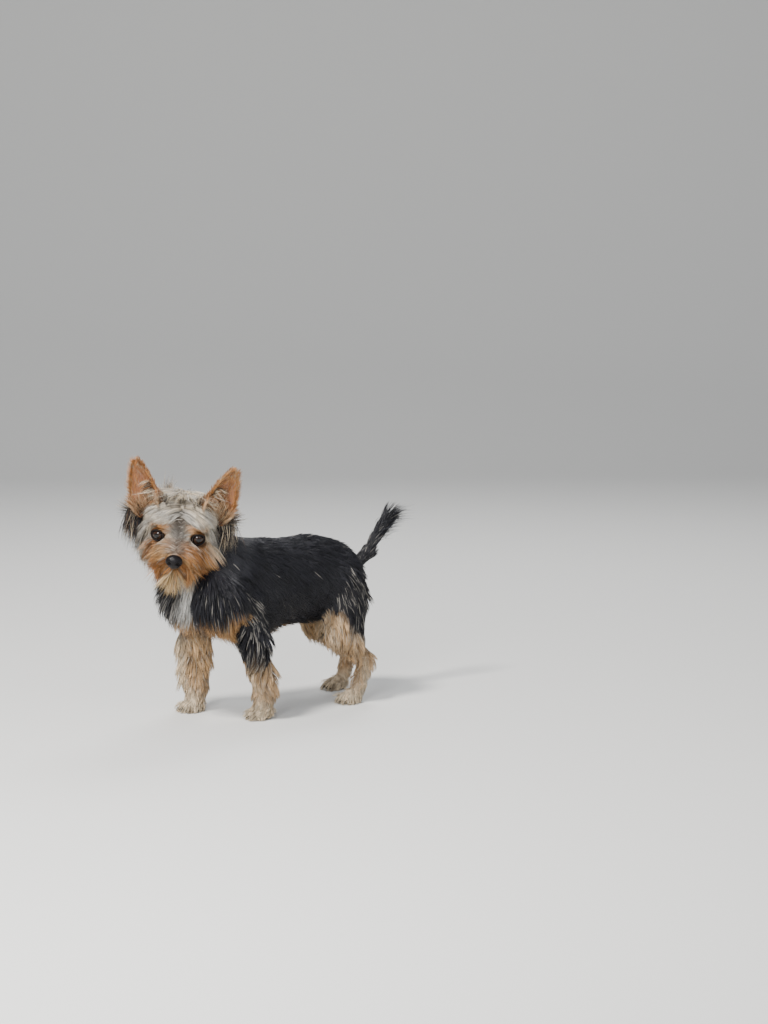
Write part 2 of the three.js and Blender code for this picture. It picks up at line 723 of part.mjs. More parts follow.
const headWorld = turned(headCore(0), headMatrix);
addNode("head", headWorld, headCoat(), [aroundTorso, aroundNeck], headMatrix, turned(openings, headMatrix));
parts.nose = turned(largest(noseSolid(0)), headMatrix);
both((side) => {
  const name = side > 0 ? "left" : "right";
  const shell = turned(earSolid(side), headMatrix);
  parts["eye_" + name] = turned(eyeball(side), headMatrix);
  const core = largest(lessAll(shell, [aroundHead, aroundNeck, hairBefore]));
  addNode("ear_" + name, core, earCoat(side), [aroundHead, aroundNeck], headMatrix);
});
const torsoBare = torsoCore(0).subtract(aroundHead);
addNode("torso", torsoBare, torsoCoat(), [aroundHead, aroundNeck, aroundLegs]);
parts.neck = largest(lessAll(neckCore(0), [aroundTorso, aroundHead]));
addNode("tail", lessAll(tailCore(0), [aroundTorso]), tailCoat(), [aroundTorso]);

// Each leg is parted with level cuts.
legs.forEach((leg) => {
  const lengths = leg.hind
    ? [
        { name: "thigh_", low: KNEE_CUT, high: TOP, locks: thighCoat(leg) },
        { name: "shank_", low: HOCK_CUT, high: KNEE_CUT, locks: shankCoat(leg) },
        { name: "paw_", low: 0, high: HOCK_CUT, locks: pawCoat(leg) },
      ]
    : [
        { name: "leg_", low: WRIST_CUT, high: TOP, locks: foreCoat(leg) },
        { name: "paw_", low: 0, high: WRIST_CUT, locks: pawCoat(leg) },
      ];
  const whole = legCore(leg, 0).subtract(aroundTorso);
  const around = legCore(leg, GAP);
  lengths.forEach(({ name, low, high, locks }) => {
    const core = whole.intersect(slab(low + (low ? GAP : 0), high));
    const others = [slab(-50, 0), around.intersect(slab(high, TOP)), around.intersect(slab(-1, low))];
    addNode(name + leg.name, core, locks, [aroundTorso, ...others]);
  });
});

// Colours of the coat
const BLACK = { color: 0x15161b, roughness: 0.55, metalness: 0 };
const SILVER = { color: 0xb9b1a0, roughness: 0.6, metalness: 0 };
const TAN = { color: 0xb4814e, roughness: 0.65, metalness: 0 };
const EAR_TAN = { color: 0xb0673a, roughness: 0.65, metalness: 0 };
const LEATHER = { color: 0x0d0c0d, roughness: 0.3, metalness: 0 };
const EYE = { color: 0x140c08, roughness: 0.08, metalness: 0 };
const finishes = {
  torso: BLACK, neck: BLACK, tail: BLACK, head: SILVER, nose: LEATHER, eye: EYE, ear: EAR_TAN,
};

const dog = new THREE.Group();
Object.entries(parts).forEach(([name, made]) => {
  const finish = finishes[name.split("_")[0]] ?? TAN;
  const mesh = new THREE.Mesh(geometryOf(made), new THREE.MeshStandardMaterial(finish));
  mesh.name = name;
  dog.add(mesh);
});

// The origin is on the ground, under the middle of the dog's box.
const extent = new THREE.Box3().setFromObject(dog);
const middle = extent.getCenter(at(0, 0, 0));
dog.position.set(-middle.x, -middle.y, 0);

export default dog;
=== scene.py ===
import math

import bpy
import numpy as np
from mathutils.kdtree import KDTree
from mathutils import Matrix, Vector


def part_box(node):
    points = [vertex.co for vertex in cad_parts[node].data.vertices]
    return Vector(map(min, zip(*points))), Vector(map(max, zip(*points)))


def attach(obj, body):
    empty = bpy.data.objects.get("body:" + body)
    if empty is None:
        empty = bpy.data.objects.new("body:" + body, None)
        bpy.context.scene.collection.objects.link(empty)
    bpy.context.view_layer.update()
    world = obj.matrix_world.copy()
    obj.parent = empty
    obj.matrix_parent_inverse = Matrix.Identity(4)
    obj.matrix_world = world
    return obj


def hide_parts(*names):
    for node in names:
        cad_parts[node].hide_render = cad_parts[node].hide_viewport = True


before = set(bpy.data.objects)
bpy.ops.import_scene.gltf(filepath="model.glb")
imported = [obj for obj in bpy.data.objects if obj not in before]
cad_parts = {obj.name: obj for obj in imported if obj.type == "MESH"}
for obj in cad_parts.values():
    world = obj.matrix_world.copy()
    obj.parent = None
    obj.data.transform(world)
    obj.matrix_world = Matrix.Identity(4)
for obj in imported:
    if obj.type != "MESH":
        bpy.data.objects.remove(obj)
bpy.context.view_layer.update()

# A Yorkshire terrier: one skin, fine hair over it as mesh, eyes, lids, nose and claws.
# Shapes are worked out in millimetres in the dog's own frame: it faces -Y, its left is +X, +Z is up.

# Driving sizes, the same as the solids have
WITHERS = 212
TRUNK_HALF_WIDTH = 54
ELBOW = 92
FRONT_STANCE = 45
HIND_STANCE = 40
FRONT_LEFT_Y = -66
FRONT_RIGHT_Y = -101
HIND_LEFT_Y = 77
HIND_RIGHT_Y = 120
HEAD_PLACE = np.array([-3.0, -147.0, 234.0])
HEAD_YAW, HEAD_PITCH, HEAD_ROLL = 49, 14, 7
EYE_RADIUS = 8.0
EYE_SPACING = 45.0
EAR_LENGTH, EAR_WIDTH = 54.0, 42.0
EAR_LEAN = {1: 23, -1: 25}
EAR_THICKNESS = 1.6
TAIL_LENGTH = 68
NOSE_PLACE = np.array([0.0, -61.0, -23.0])
NOSE_WIDTH = 20
PAW_LENGTH, PAW_WIDTH = 32, 25
TOES = (-0.34, -0.12, 0.12, 0.34)
MOUTH_RADIUS = 1.3
GRADIENT_STEP = 0.4
MM = 0.001
BOTH = (1, -1)
SIDE_NAME = {1: "left", -1: "right"}

# The camera: where it stands, and where the photo has the horizon and the middle of the dog, in its pixels
AZIMUTH = 52
CAMERA_DISTANCE = 2.75
CAMERA_HEIGHT = 0.555
FOCAL_PX = 2278
HORIZON_PX = 250
ORIGIN_PX = 280
IMAGE_WIDTH, IMAGE_HEIGHT = 768, 1024
SENSOR_MM = 36

# One run of seeded draws for everything random
rng = np.random.default_rng(7)


def V(x, y, z):
    return np.array([x, y, z], float)


def stacked(*columns):
    """One row for each point from columns of numbers, where a single number stands for a whole column."""
    return np.stack(np.broadcast_arrays(*columns), -1)


# Fields: distance of points from a surface, negative inside
def ball(centre, radius):
    return lambda p: np.linalg.norm(p - centre, axis=-1) - radius


def egg(centre, radii):
    def field(p):
        q = (p - centre) / radii
        scale = np.linalg.norm(q, axis=-1)
        return scale * (scale - 1) / np.maximum(np.linalg.norm(q / radii, axis=-1), 1e-9)

    return field


def limb(start, start_radius, end, end_radius):
    axis = end - start

    def field(p):
        share = np.clip(((p - start) @ axis) / (axis @ axis), 0, 1)
        nearest = start + share[..., None] * axis
        return np.linalg.norm(p - nearest, axis=-1) - (start_radius + (end_radius - start_radius) * share)

    return field


def smooth_min(a, b, softness):
    near = np.maximum(softness - np.abs(a - b), 0) / softness
    return np.minimum(a, b) - near * near * softness / 4


def blended(softness, fields):
    def field(p):
        total = fields[0](p)
        for other in fields[1:]:
            total = smooth_min(total, other(p), softness)
        return total

    return field


def cut(value, hole, softness):
    return -smooth_min(-value, hole, softness)


def gradient(field, p):
    """The way out of a field's surface at each point."""
    out = stacked(*[field(p + axis) - field(p - axis) for axis in np.eye(3) * GRADIENT_STEP])
    return out / np.maximum(np.linalg.norm(out, axis=-1, keepdims=True), 1e-9)


def unit(v):
    return v / np.maximum(np.linalg.norm(v, axis=-1, keepdims=True), 1e-9)


# Turns and places
def turn(axis, degrees):
    c, s = math.cos(math.radians(degrees)), math.sin(math.radians(degrees))
    m = np.eye(4)
    i, j = {"x": (1, 2), "y": (2, 0), "z": (0, 1)}[axis]
    m[i, i] = m[j, j] = c
    m[j, i] = s
    m[i, j] = -s
    return m


def shift(v):
    m = np.eye(4)
    m[:3, 3] = v
    return m


def aim(m, way):
    return way @ m[:3, :3].T


def place(m, p):
    return aim(m, p) + m[:3, 3]


HEAD = shift(HEAD_PLACE) @ turn("z", HEAD_YAW) @ turn("x", HEAD_PITCH) @ turn("y", HEAD_ROLL)
HEAD_BACK = np.linalg.inv(HEAD)


def in_head(field):
    return lambda p: field(place(HEAD_BACK, p))


def eye_place(side):
    return V(side * EYE_SPACING / 2, -26, -3)


def gaze_frame(side):
    return HEAD @ shift(eye_place(side)) @ turn("z", side * 16) @ turn("x", 4)


# The solids' left eyeball says where the dog's own origin lies in the frame.
eye_low, eye_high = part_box("eye_left")
EYE_IN_FRAME = (np.array(eye_low) + np.array(eye_high)) / 2 / MM
TO_FRAME = EYE_IN_FRAME - place(HEAD, eye_place(1))


# The dog's parts
torso_field = blended(24, [
    egg(V(0, -50, 150), V(TRUNK_HALF_WIDTH, 66, 58)),
    *[ball(V(side * 31, -111, 147), 38) for side in BOTH],
    limb(V(0, -62, WITHERS - 44), 43, V(0, 40, WITHERS - 48), 46),
    egg(V(0, 30, 150), V(50, 74, 50)),
    egg(V(0, 80, 149), V(47, 36, 48)),
])
NECK_END = HEAD_PLACE + V(-9, 15, -15)
neck_field = limb(V(0, -88, 172), 48, NECK_END, 36)


def front_leg(side, paw_y):
    x = side * FRONT_STANCE
    shoulder = V(side * 37, paw_y * 0.4 - 58, 138)
    elbow = V(side * 44, paw_y * 0.6 - 37, ELBOW)
    wrist = V(x, paw_y + 6, 30)
    return dict(
        side=side, hind=False, paw=V(x, paw_y, 0), joints=[shoulder, elbow, wrist, V(x, paw_y + 2, 14)],
        field=blended(9, [
            limb(shoulder, 26, elbow, 20), limb(elbow, 19, wrist, 12),
            limb(wrist, 12, V(x, paw_y + 2, 14), 11.5),
        ]),
    )


def hind_leg(side, paw_y):
    behind = paw_y - HIND_LEFT_Y
    hip = V(side * 25, 71 + behind * 0.2, 148)
    knee = V(side * 39, 60 + behind * 0.55, 92 + behind * 0.05)
    hock = V(side * 41, 101 + behind * 0.95, 50)
    heel = V(side * HIND_STANCE, paw_y + 12, 18)
    return dict(
        side=side, hind=True, paw=V(side * HIND_STANCE, paw_y, 0), joints=[hip, knee, hock, heel],
        field=blended(10, [
            limb(hip, 34, knee, 21), limb(hip + V(side * 4, 15, -18), 23, hock + V(0, -14, 32), 12),
            limb(knee, 19, hock, 10), limb(hock, 10, heel, 9.5),
        ]),
    )


def toe_place(paw, share):
    return paw + V(PAW_WIDTH * share, -PAW_LENGTH * (0.34 - abs(share) * 0.35), 0)


def paw_field(paw):
    toes = [egg(toe_place(paw, share) + V(0, 0, 6), V(4.4, 8.5, 6.6)) for share in TOES]
    return blended(2.2, [egg(paw + V(0, 2, 8), V(PAW_WIDTH * 0.44, 14, 10)), *toes])


LEGS = [
    front_leg(1, FRONT_LEFT_Y), front_leg(-1, FRONT_RIGHT_Y),
    hind_leg(1, HIND_LEFT_Y), hind_leg(-1, HIND_RIGHT_Y),
]
TAIL_ROOT = V(0, 121, 163)
TAIL_TIP = TAIL_ROOT + V(4, TAIL_LENGTH * 0.62, TAIL_LENGTH * 0.78)
TAIL_BEND = TAIL_ROOT + V(0, 14, 12)
tail_field = blended(5, [
    limb(TAIL_ROOT + V(0, -16, -6), 13, TAIL_BEND, 11), limb(TAIL_BEND, 10.5, TAIL_TIP, 7.5),
])

head_field = blended(9, [
    egg(V(0, 2, 4), V(37, 38, 32)),
    limb(V(0, -22, -12), 20, V(0, -49, -20), 13.5),
    limb(V(0, -18, -25), 14, V(0, -46, -30), 8.5),
    *[ball(V(side * 15, -22, 9), 12) for side in BOTH],
    *[ball(V(side * 20, -12, -13), 15) for side in BOTH],
    *[ball(V(side * 8, -46, -22), 9) for side in BOTH],
])

# The mouth: a groove round the muzzle under the lips
MOUTH = [V(21, -28, -30), V(17, -41, -32), V(9, -54, -31), V(0, -60, -29.5)]
MOUTH += [V(-p[0], p[1], p[2]) for p in MOUTH[-2::-1]]
mouth_groove = blended(0.5, [limb(a, MOUTH_RADIUS, b, MOUTH_RADIUS) for a, b in zip(MOUTH, MOUTH[1:])])


def nose_body(softness, drop, depth):
    """The rounded front of the nose leather, and the narrower part below it."""
    front = egg(NOSE_PLACE + V(0, 2, 1), V(NOSE_WIDTH / 2, 8, 7.5))
    return blended(softness, [front, egg(NOSE_PLACE + V(0, 3, -drop), V(5, 6, depth))])


nose_field = nose_body(5, 5, 6)
SOCKET = EYE_RADIUS + 1.2
sockets = [ball(eye_place(side), SOCKET) for side in BOTH]


def face_field(p):
    total = head_field(p)
    for hole in [mouth_groove, *sockets]:
        total = cut(total, hole(p), 1.6)
    return total


# The skin lies this far inside the solids' cores.
def coat_depth(p):
    body = np.clip((p[..., 2] - 30) / 60, 0, 1) * 4.5
    local = place(HEAD_BACK, p)
    face = np.clip(1 - np.linalg.norm(local - V(0, -30, -10), axis=-1) / 52, 0, 1) * 3.6
    return np.maximum(body + 1.0 - face, 0.9)


# Numbers of the parts of the coat; the legs follow, with their paws, in the order of LEGS.
TRUNK_PART, NECK_PART, HEAD_PART, TAIL_PART, FIRST_LEG = range(5)
PARTS = [torso_field, neck_field, in_head(face_field), tail_field, *[leg["field"] for leg in LEGS]]
SOFTNESS = [16, 12, 12, 9, 14, 14, 12, 12]
PAWS = [paw_field(leg["paw"]) for leg in LEGS]
FLOOR_GAP = 0.4


def skin_field(p):
    total = PARTS[0](p)
    for softness, field in zip(SOFTNESS, PARTS[1:]):
        total = smooth_min(total, field(p), softness)
    total = total + coat_depth(p)
    for paw in PAWS:
        total = smooth_min(total, paw(p) + 0.6, 3)
    for socket in sockets:
        total = cut(total, in_head(socket)(p), 1.2)
    return np.maximum(total, FLOOR_GAP - p[..., 2])


def part_of(p):
    """Number of the part that each point is nearest to; a paw counts with its leg."""
    nearest = np.stack([field(p) for field in PARTS + PAWS], -1).argmin(-1)
    return np.where(nearest >= len(PARTS), nearest - len(LEGS), nearest)


# Mesh over a field: one point in every cell that the surface crosses
def surface_of(field, low, high, cell):
    counts = np.ceil((high - low) / cell).astype(int) + 1
    axes = [low[i] + np.arange(counts[i]) * cell for i in range(3)]
    values = np.empty(counts, np.float32)
    for i, x in enumerate(axes[0]):
        grid = np.stack(np.meshgrid([x], axes[1], axes[2], indexing="ij"), -1)
        values[i] = field(grid)[0]
    inside = values < 0
    corners = [(a, b, c) for a in (0, 1) for b in (0, 1) for c in (0, 1)]
    within = np.zeros(counts - 1, np.int8)
    for corner in corners:
        within += inside[tuple(slice(corner[i], counts[i] - 1 + corner[i]) for i in range(3))]
    cells = np.argwhere((within > 0) & (within < 8))
    index = np.full(counts - 1, -1, np.int32)
    index[tuple(cells.T)] = np.arange(len(cells))
    total = np.zeros((len(cells), 3))
    crossings = np.zeros((len(cells), 1))
    for corner in corners:
        for axis in range(3):
            if corner[axis]:
                continue
            end = list(corner)
            end[axis] = 1
            a = values[tuple((cells + corner).T)].astype(float)
            b = values[tuple((cells + end).T)].astype(float)
            cross = (a < 0) != (b < 0)
            spot = np.repeat(np.array(corner, float)[None], len(cells), 0)
            spot[:, axis] = np.where(cross, a / np.where(cross, a - b, 1), 0)
            total += spot * cross[:, None]
            crossings += cross[:, None]
    points = low + (cells + total / crossings) * cell
    faces = []
    for axis in range(3):
        u, v = [(1, 2), (2, 0), (0, 1)][axis]
        span = [slice(1, counts[i] - 1) for i in range(3)]
        span[axis] = slice(0, counts[axis] - 1)
        first = inside[tuple(span)]
        span[axis] = slice(1, counts[axis])
        second = inside[tuple(span)]
        for flip in (False, True):
            edge = np.argwhere((~first & second) if flip else (first & ~second))
            edge[:, u] += 1
            edge[:, v] += 1
            du, dv = np.zeros(3, int), np.zeros(3, int)
            du[u] = dv[v] = 1
            quad = [index[tuple((edge - s * du - t * dv).T)] for s, t in ((1, 1), (0, 1), (0, 0), (1, 0))]
            if flip:
                quad.reverse()
            faces.append(np.stack(quad, -1))
    return points, np.concatenate(faces)


# Blender objects
def in_scene(name, data):
    thing = bpy.data.objects.new(name, data)
    bpy.context.scene.collection.objects.link(thing)
    return thing


def make_object(name, points, faces, material, colours, uv):
    """A piece of the dog from points in millimetres; its faces all have the same number of corners."""
    mesh = bpy.data.meshes.new(name)
    count, sides = faces.shape
    mesh.vertices.add(len(points))
    mesh.vertices.foreach_set("co", ((points + TO_FRAME) * MM).astype(np.float32).ravel())
    mesh.loops.add(count * sides)
    mesh.loops.foreach_set("vertex_index", faces.astype(np.int32).ravel())
    mesh.polygons.add(count)
    mesh.polygons.foreach_set("loop_start", np.arange(0, count * sides, sides, dtype=np.int32))
    mesh.polygons.foreach_set("use_smooth", np.full(count, True))
    mesh.update(calc_edges=True)
    mesh.validate()
    layer = mesh.color_attributes.new("tint", "FLOAT_COLOR", "POINT")
    layer.data.foreach_set("color", np.c_[colours, np.ones(len(colours))].astype(np.float32).ravel())
    mesh.uv_layers.new(name="OFBake").data.foreach_set("uv", uv.astype(np.float32).ravel())
    mesh.materials.append(material)
    piece = in_scene(name, mesh)
    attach(piece, "root")
    return piece


# Unwrap of the skin: each part has its own field of the map, round its spine by along it.
SPINES = [
    (V(0, -135, 148), V(0, 115, 152)),
    (V(0, -60, 168), NECK_END),
    (place(HEAD, V(0, 30, 6)), place(HEAD, V(0, -64, -22))),
    (TAIL_ROOT - V(0, 20, 8), TAIL_TIP + V(2, 6, 8)),
    *[(leg["joints"][0] + V(0, 0, 20), leg["paw"]) for leg in LEGS],
]
CHARTS = 4
MARGIN = 0.01
PAST_SPINE = 0.12


def on_chart(number, u, v):
    """Place on the map of u and v, each from 0 to 1, in the field with this number."""
    column, row = number % CHARTS, number // CHARTS
    span = 1 / CHARTS - 2 * MARGIN
    return stacked(column / CHARTS + MARGIN + u * span, row / CHARTS + MARGIN + v * span)


def unwrap(p, part, reference=None):
    """Place on the map of points p, each on its part; a face's corners share a reference point."""
    reference = p if reference is None else reference
    uv = np.zeros((len(p), 2))
    for number, (start, end) in enumerate(SPINES):
        chosen = part == number
        if not chosen.any():
            continue
        length = np.linalg.norm(end - start)
        axis = (end - start) / length
        side = unit(np.cross(axis, V(0.1, 0.2, 1) if abs(axis[2]) < 0.8 else V(0, 1, 0.1)))
        over = np.cross(side, axis)
        offsets = (p[chosen] - start, reference[chosen] - start)
        angle, middle = [np.arctan2(offset @ over, offset @ side) for offset in offsets]
        angle = middle + (angle - middle + math.pi) % (2 * math.pi) - math.pi
        along = np.clip(((p[chosen] - start) @ axis) / length, -PAST_SPINE, 1 + PAST_SPINE)
        u = np.clip((angle / math.pi + 1) / 2, 0, 1)
        uv[chosen] = on_chart(number, u, (along + PAST_SPINE) / (1 + 2 * PAST_SPINE))
    return uv


# Smooth variation from place to place, the same on every run
def wander(p, scale, seed):
    draws = np.random.default_rng(seed)
    total = 0
    for octave in range(4):
        wave = draws.normal(size=3) / scale * (1.5 ** octave)
        total = total + np.sin(p @ wave + draws.uniform(0, 6.3)) * 0.7 ** octave
    return total / 1.8


# Colours of the coat, linear
BLACK = V(0.011, 0.011, 0.015)
# A painted bluish sheen on the black hair, mixed into its colour.
STEEL_SHEEN = V(0.075, 0.078, 0.092)
WHITE = V(0.62, 0.61, 0.58)
SILVER = V(0.46, 0.43, 0.38)
CREAM = V(0.66, 0.54, 0.38)
GREY = V(0.13, 0.12, 0.105)
TAN = V(0.44, 0.245, 0.10)
GOLD = V(0.52, 0.33, 0.16)
AMBER = V(0.55, 0.265, 0.085)
# A painted shade for the hollow of the ear cup.
EAR_HOLLOW_SHADE = V(0.20, 0.085, 0.045)
EAR_PINK = V(0.30, 0.13, 0.06)
RUST = V(0.38, 0.165, 0.052)
UMBER = V(0.10, 0.055, 0.030)


def mix(a, b, share):
    share = np.clip(share, 0, 1)[..., None]
    return a * (1 - share) + b * share


def painted(colour, *layers):
    """A colour under layers of paint, each with its share at each place."""
    for paint, share in layers:
        colour = mix(colour, paint, share)
    return colour


def step(value, low, high):
    t = np.clip((value - low) / (high - low), 0, 1)
    return t * t * (3 - 2 * t)


def markings(p, part):
    """Colour of the coat at each place, and the share of pale hairs mixed in."""
    local = place(HEAD_BACK, p)
    edge = wander(p, 14, 3) * 5
    x, y, z = p[:, 0], p[:, 1], p[:, 2]
    trunk = (part == TRUNK_PART) | (part == NECK_PART)
    # Patches of pale hairs, where the black also carries a painted bluish sheen; a little of that painted
    # sheen lies over all the black hair.
    flecks_and_sheen = np.clip(wander(p, 26, 4) - 0.8, 0, 1)
    colour = mix(BLACK, STEEL_SHEEN, flecks_and_sheen * 0.3 + 0.03)
    pale = 0.004 + flecks_and_sheen * 0.05
    chest = trunk & (y < -80)
    bib = np.exp(-((x + 4) / 11) ** 2) * step(-y, 118, 136) * step(z + edge, 110, 126) * step(-z, -190, -176)
    colour = np.where(trunk[:, None], mix(colour, WHITE, bib * 0.95), colour)
    under = step(-(z + edge - np.abs(x) * 0.15), -134, -120)
    colour = np.where(chest[:, None], mix(colour, mix(TAN, GOLD, step(edge, -3, 4)), under), colour)
    belly = trunk & (y > -80)
    colour = np.where(belly[:, None], mix(colour, TAN, step(-(z + edge), -108, -98) * 0.8), colour)
    pale = np.where(trunk & (y < -100) & (z < 165), 0.04 + 0.22 * step(-x, 10, 26), pale)
    throat = (part == NECK_PART) * step(-local[:, 1], -6, 8)
    throat = throat * step(-np.abs(local[:, 0]), -26, -16) * step(-local[:, 2], 16, 26)
    colour = mix(colour, mix(CREAM, BLACK, step(-edge, -2, 4) * 0.5), throat * 0.75)
    for number, leg in enumerate(LEGS, FIRST_LEG):
        mine = part == number
        outer = np.clip((x * leg["side"] - 36) / 16, -1, 1)
        top = 100 if leg["hind"] else 96
        if leg["hind"]:
            height = z + edge * 0.6 + np.clip((y - leg["joints"][1][1] - 12) * 0.9, -18, 34)
        else:
            height = z + edge + (16 * step(outer, -0.4, 0.4) if leg["side"] > 0 else -12)
        shade = painted(
            CREAM,
            (TAN, step(z, 6, 34) * 0.75),
            (GOLD, step(z, 40, 70) * 0.5),
            (CREAM, np.clip(wander(p, 9, 5), 0, 1) * 0.6),
            (UMBER, np.clip(wander(p, 8, 6) - 0.25, 0, 1) * 0.65),
            (CREAM * 1.2, step(outer, 0.1, 0.9) * (0.65 if leg["side"] < 0 else 0.1)),
            (BLACK, step(height, top - 14, top + 8)),
        )
        colour = np.where(mine[:, None], shade, colour)
        pale = np.where(mine, 0.18, pale)
    head = part == HEAD_PART
    colour = np.where(head[:, None], head_markings(local, edge), colour)
    pale = np.where(part == TAIL_PART, 0.06, np.where(head, 0.12, pale))
    return colour, pale


def head_markings(local, edge):
    x, y, z = local[:, 0], local[:, 1], local[:, 2]
    side = np.abs(x)
    brow = np.exp(-(((side - 16) / 10.0) ** 4 + ((z - 8) / 8.0) ** 4)) * step(-y, 14, 22)
    parting = np.exp(-((x - 0.5) / 4.4) ** 4) * step(-y, 18, 28) * step(z, -12, -4) * step(-z, -24, -16)
    flank = step(side + y * 0.5 + edge * 0.4, 22, 29) * step(-z, -28, -16)
    face = step(-z + edge * 0.3, 2, 9) * step(-y, 10, 22)
    bridge = np.exp(-(x / 7.0) ** 2) * step(-y, 26, 36) * step(z, -22, -12)
    chin = step(-z, 31, 37) * step(-y, 10, 22) * step(-side, -19, -11)
    cheek = step(side, 26, 33) * step(-z, 6, 14) * step(-y, -6, 6)
    from_eyes = [np.linalg.norm(local - eye_place(eye_side), axis=-1) for eye_side in BOTH]
    return painted(
        SILVER,
        (CREAM, step(wander(local, 7, 8), -0.6, 0.8) * 0.6),
        (AMBER, brow * 0.95),
        (UMBER * 0.6, parting * 0.92),
        (mix(GREY, BLACK, step(-z, -14, 6)), flank * 0.92),
        (BLACK, step(y + edge * 0.5, 8, 20) * 0.85),
        (mix(RUST, TAN, step(wander(local, 6, 9), -0.5, 0.8)), face),
        (GREY * 1.6, bridge * 0.75),
        (CREAM * V(0.76, 0.76, 0.60), chin * 0.85),
        (CREAM, cheek * 0.45),
        *[(UMBER, np.exp(-((near - 9.0) / 3.4) ** 2) * 0.85) for near in from_eyes],
        (BLACK, np.exp(-(np.abs(mouth_groove(local)) / 1.5) ** 2) * 0.9),
    )


class Lie:
    """The lie of the coat: where the hair points at each place, how long it is and how far it stands off."""

    def __init__(self, way, length, lift):
        self.way = way
        self.length = np.full(len(way), length)
        self.lift = np.full(len(way), lift)

    def lay(self, weight, way, length, lift):
        """Another lie over this one, in full where its weight is 1."""
        weight = np.clip(np.broadcast_to(weight, self.lift.shape).astype(float), 0, 1)
        self.way = self.way * (1 - weight[:, None]) + way * weight[:, None]
        self.length = self.length * (1 - weight) + length * weight
        self.lift = self.lift * (1 - weight) + lift * weight


def head_lie(local):
    x, y, z = local[:, 0], local[:, 1], local[:, 2]
    side = np.sign(x + wander(local, 10, 41) * 2.0 + rng.normal(0, 1.6, len(x)) + 0.01)
    spread = np.clip(np.abs(x) / 12, 0.6, 1)
    make = lambda out, back, up: stacked(side * out, back, up)
    coat = Lie(make(0.55 * spread, 0.3, -0.75), 30.0, 0.35)
    upper = step(z, 2, 10)
    coat.lay(upper * step(-y, -14, -2), make(0.8 * spread, -0.1, -0.42), 17 + 15 * step(z, 14, 26), 0.7)
    coat.lay(upper * step(y, 2, 14), make(0.45, 0.75, -0.1), 28, 0.6)
    coat.lay(step(y, 4, 16) * (1 - upper), make(0.3, 0.45, -0.85), 34, 0.25)
    curtain = step(np.abs(x), 23, 30) * step(y, -18, -8) * step(-z, -30, -10)
    coat.lay(curtain, make(0.35, 0.0, -0.95), 46, 0.5)
    brow = np.exp(-(((np.abs(x) - 16) / 10) ** 4 + ((z - 8) / 6) ** 4)) * step(-y, 14, 22)
    coat.lay(brow * 0.8, make(0.8, 0.15, 0.1), 10, 0.35)
    stripe = np.exp(-(x / 6.5) ** 4) * step(-y, 16, 26) * step(z, -14, -6) * step(-z, -20, -12)
    coat.lay(stripe, make(0.2, 0.25, 0.9), 8, 0.2)
    muzzle = step(-y, 22, 32) * step(-z, 2, 9)
    coat.lay(muzzle, make(0.75, 0.1, -0.7), 17 + 21 * step(y, -58, -38), 0.62)
    cheek = step(-y, -2, 14) * step(y, -34, -22) * step(-z, 4, 12)
    coat.lay(cheek, make(0.7, 0.0, -0.75), 38, 0.7)
    bridge = np.exp(-(x / 8.0) ** 2) * step(-y, 24, 32) * step(z, -20, -14)
    coat.lay(bridge, make(0.55, 0.55, 0.35), 7, 0.35)
    front = step(-y, 50, 57)
    coat.lay(front * (1 - bridge), make(0.95, 0.3, -0.3), 10, 0.3)
    chin = step(-z, 31, 36) * step(-y, 8, 20)
    coat.lay(chin, stacked(x * 0.035, -0.15, -1.0), 38, 0.4)
    for eye_side in BOTH:
        offset = local - eye_place(eye_side)
        near = np.linalg.norm(offset, axis=-1)
        ring = np.exp(-((near - 8) / 6.0) ** 4)
        coat.lay(ring * 0.95, unit(offset) * 0.5 + unit(coat.way) * 0.6 + V(0, 0.3, 0), 5.0, 0.2)
    return coat


def body_lie(p, part):
    x, y, z = p[:, 0], p[:, 1], p[:, 2]
    side = np.sign(x + rng.normal(0, 4, len(x)))
    flank = np.clip(np.abs(x) / 50, 0, 1)
    fall = lambda out, back, up: stacked(side * out, back, up)
    coat = Lie(fall(0.15 * flank, 0.9 - 0.25 * flank, -0.1 - 0.75 * flank), 17.0, 0.10)
    trunk = part == TRUNK_PART
    coat.lay(part == NECK_PART, fall(0.2, 0.55, -0.7), 27, 0.22)
    coat.lay(trunk * step(-y, 96, 128), fall(0.35, -0.05, -1), 32, 0.4)
    coat.lay(trunk * step(-z, -118, -102), fall(0.1, 0.45, -0.8), 22, 0.3)
    coat.lay(trunk * step(-z, -124, -108) * step(-y, 40, 66), fall(0.15, 0.1, -1), 40, 0.3)
    for number, leg in enumerate(LEGS, FIRST_LEG):
        mine = part == number
        centre = leg["joints"][2]
        out = unit(stacked(x - centre[0], (y - centre[1]) * 0.8, 0))
        down = out * (0.25 if leg["hind"] else 0.55) + V(0, 0.15, -1)
        behind = step(y, centre[1] - 4, centre[1] + 16)
        outer = step(x * leg["side"], abs(centre[0]) - 4, abs(centre[0]) + 8)
        flare = np.maximum(behind * 0.4, outer) * step(z, 30, 54)
        shorter = 1.0
        if leg["hind"]:
            flare = flare * 0.3
            shorter = 1 - 0.4 * step(y, centre[1] - 22, centre[1]) * step(-z, -96, -76)
        more = 15 if leg["side"] < 0 else 8
        coat.lay(mine, down, (np.clip(z * 0.45 - 4, 7, 18) + more * flare) * shorter, 0.3 + 0.3 * flare)
        coat.lay(mine * step(z, 104, 126), fall(0.05, 0.3, -0.95), 19, 0.16)
        toes = unit(stacked(x - centre[0], -9.0, 0)) + V(0, 0, -0.75)
        coat.lay(mine * step(-z, -24, -12), toes, 10, 0.25)
    along = unit(TAIL_TIP - TAIL_ROOT)
    climb = np.clip(((p - TAIL_ROOT) @ along) / TAIL_LENGTH, 0, 1)
    way = gradient(tail_field, p) * 0.3 + along + V(0, 0.8, -0.1) * climb[:, None] ** 2
    coat.lay(part == TAIL_PART, way, 9 + 26 * climb, 0.15 + 0.25 * climb)
    return coat


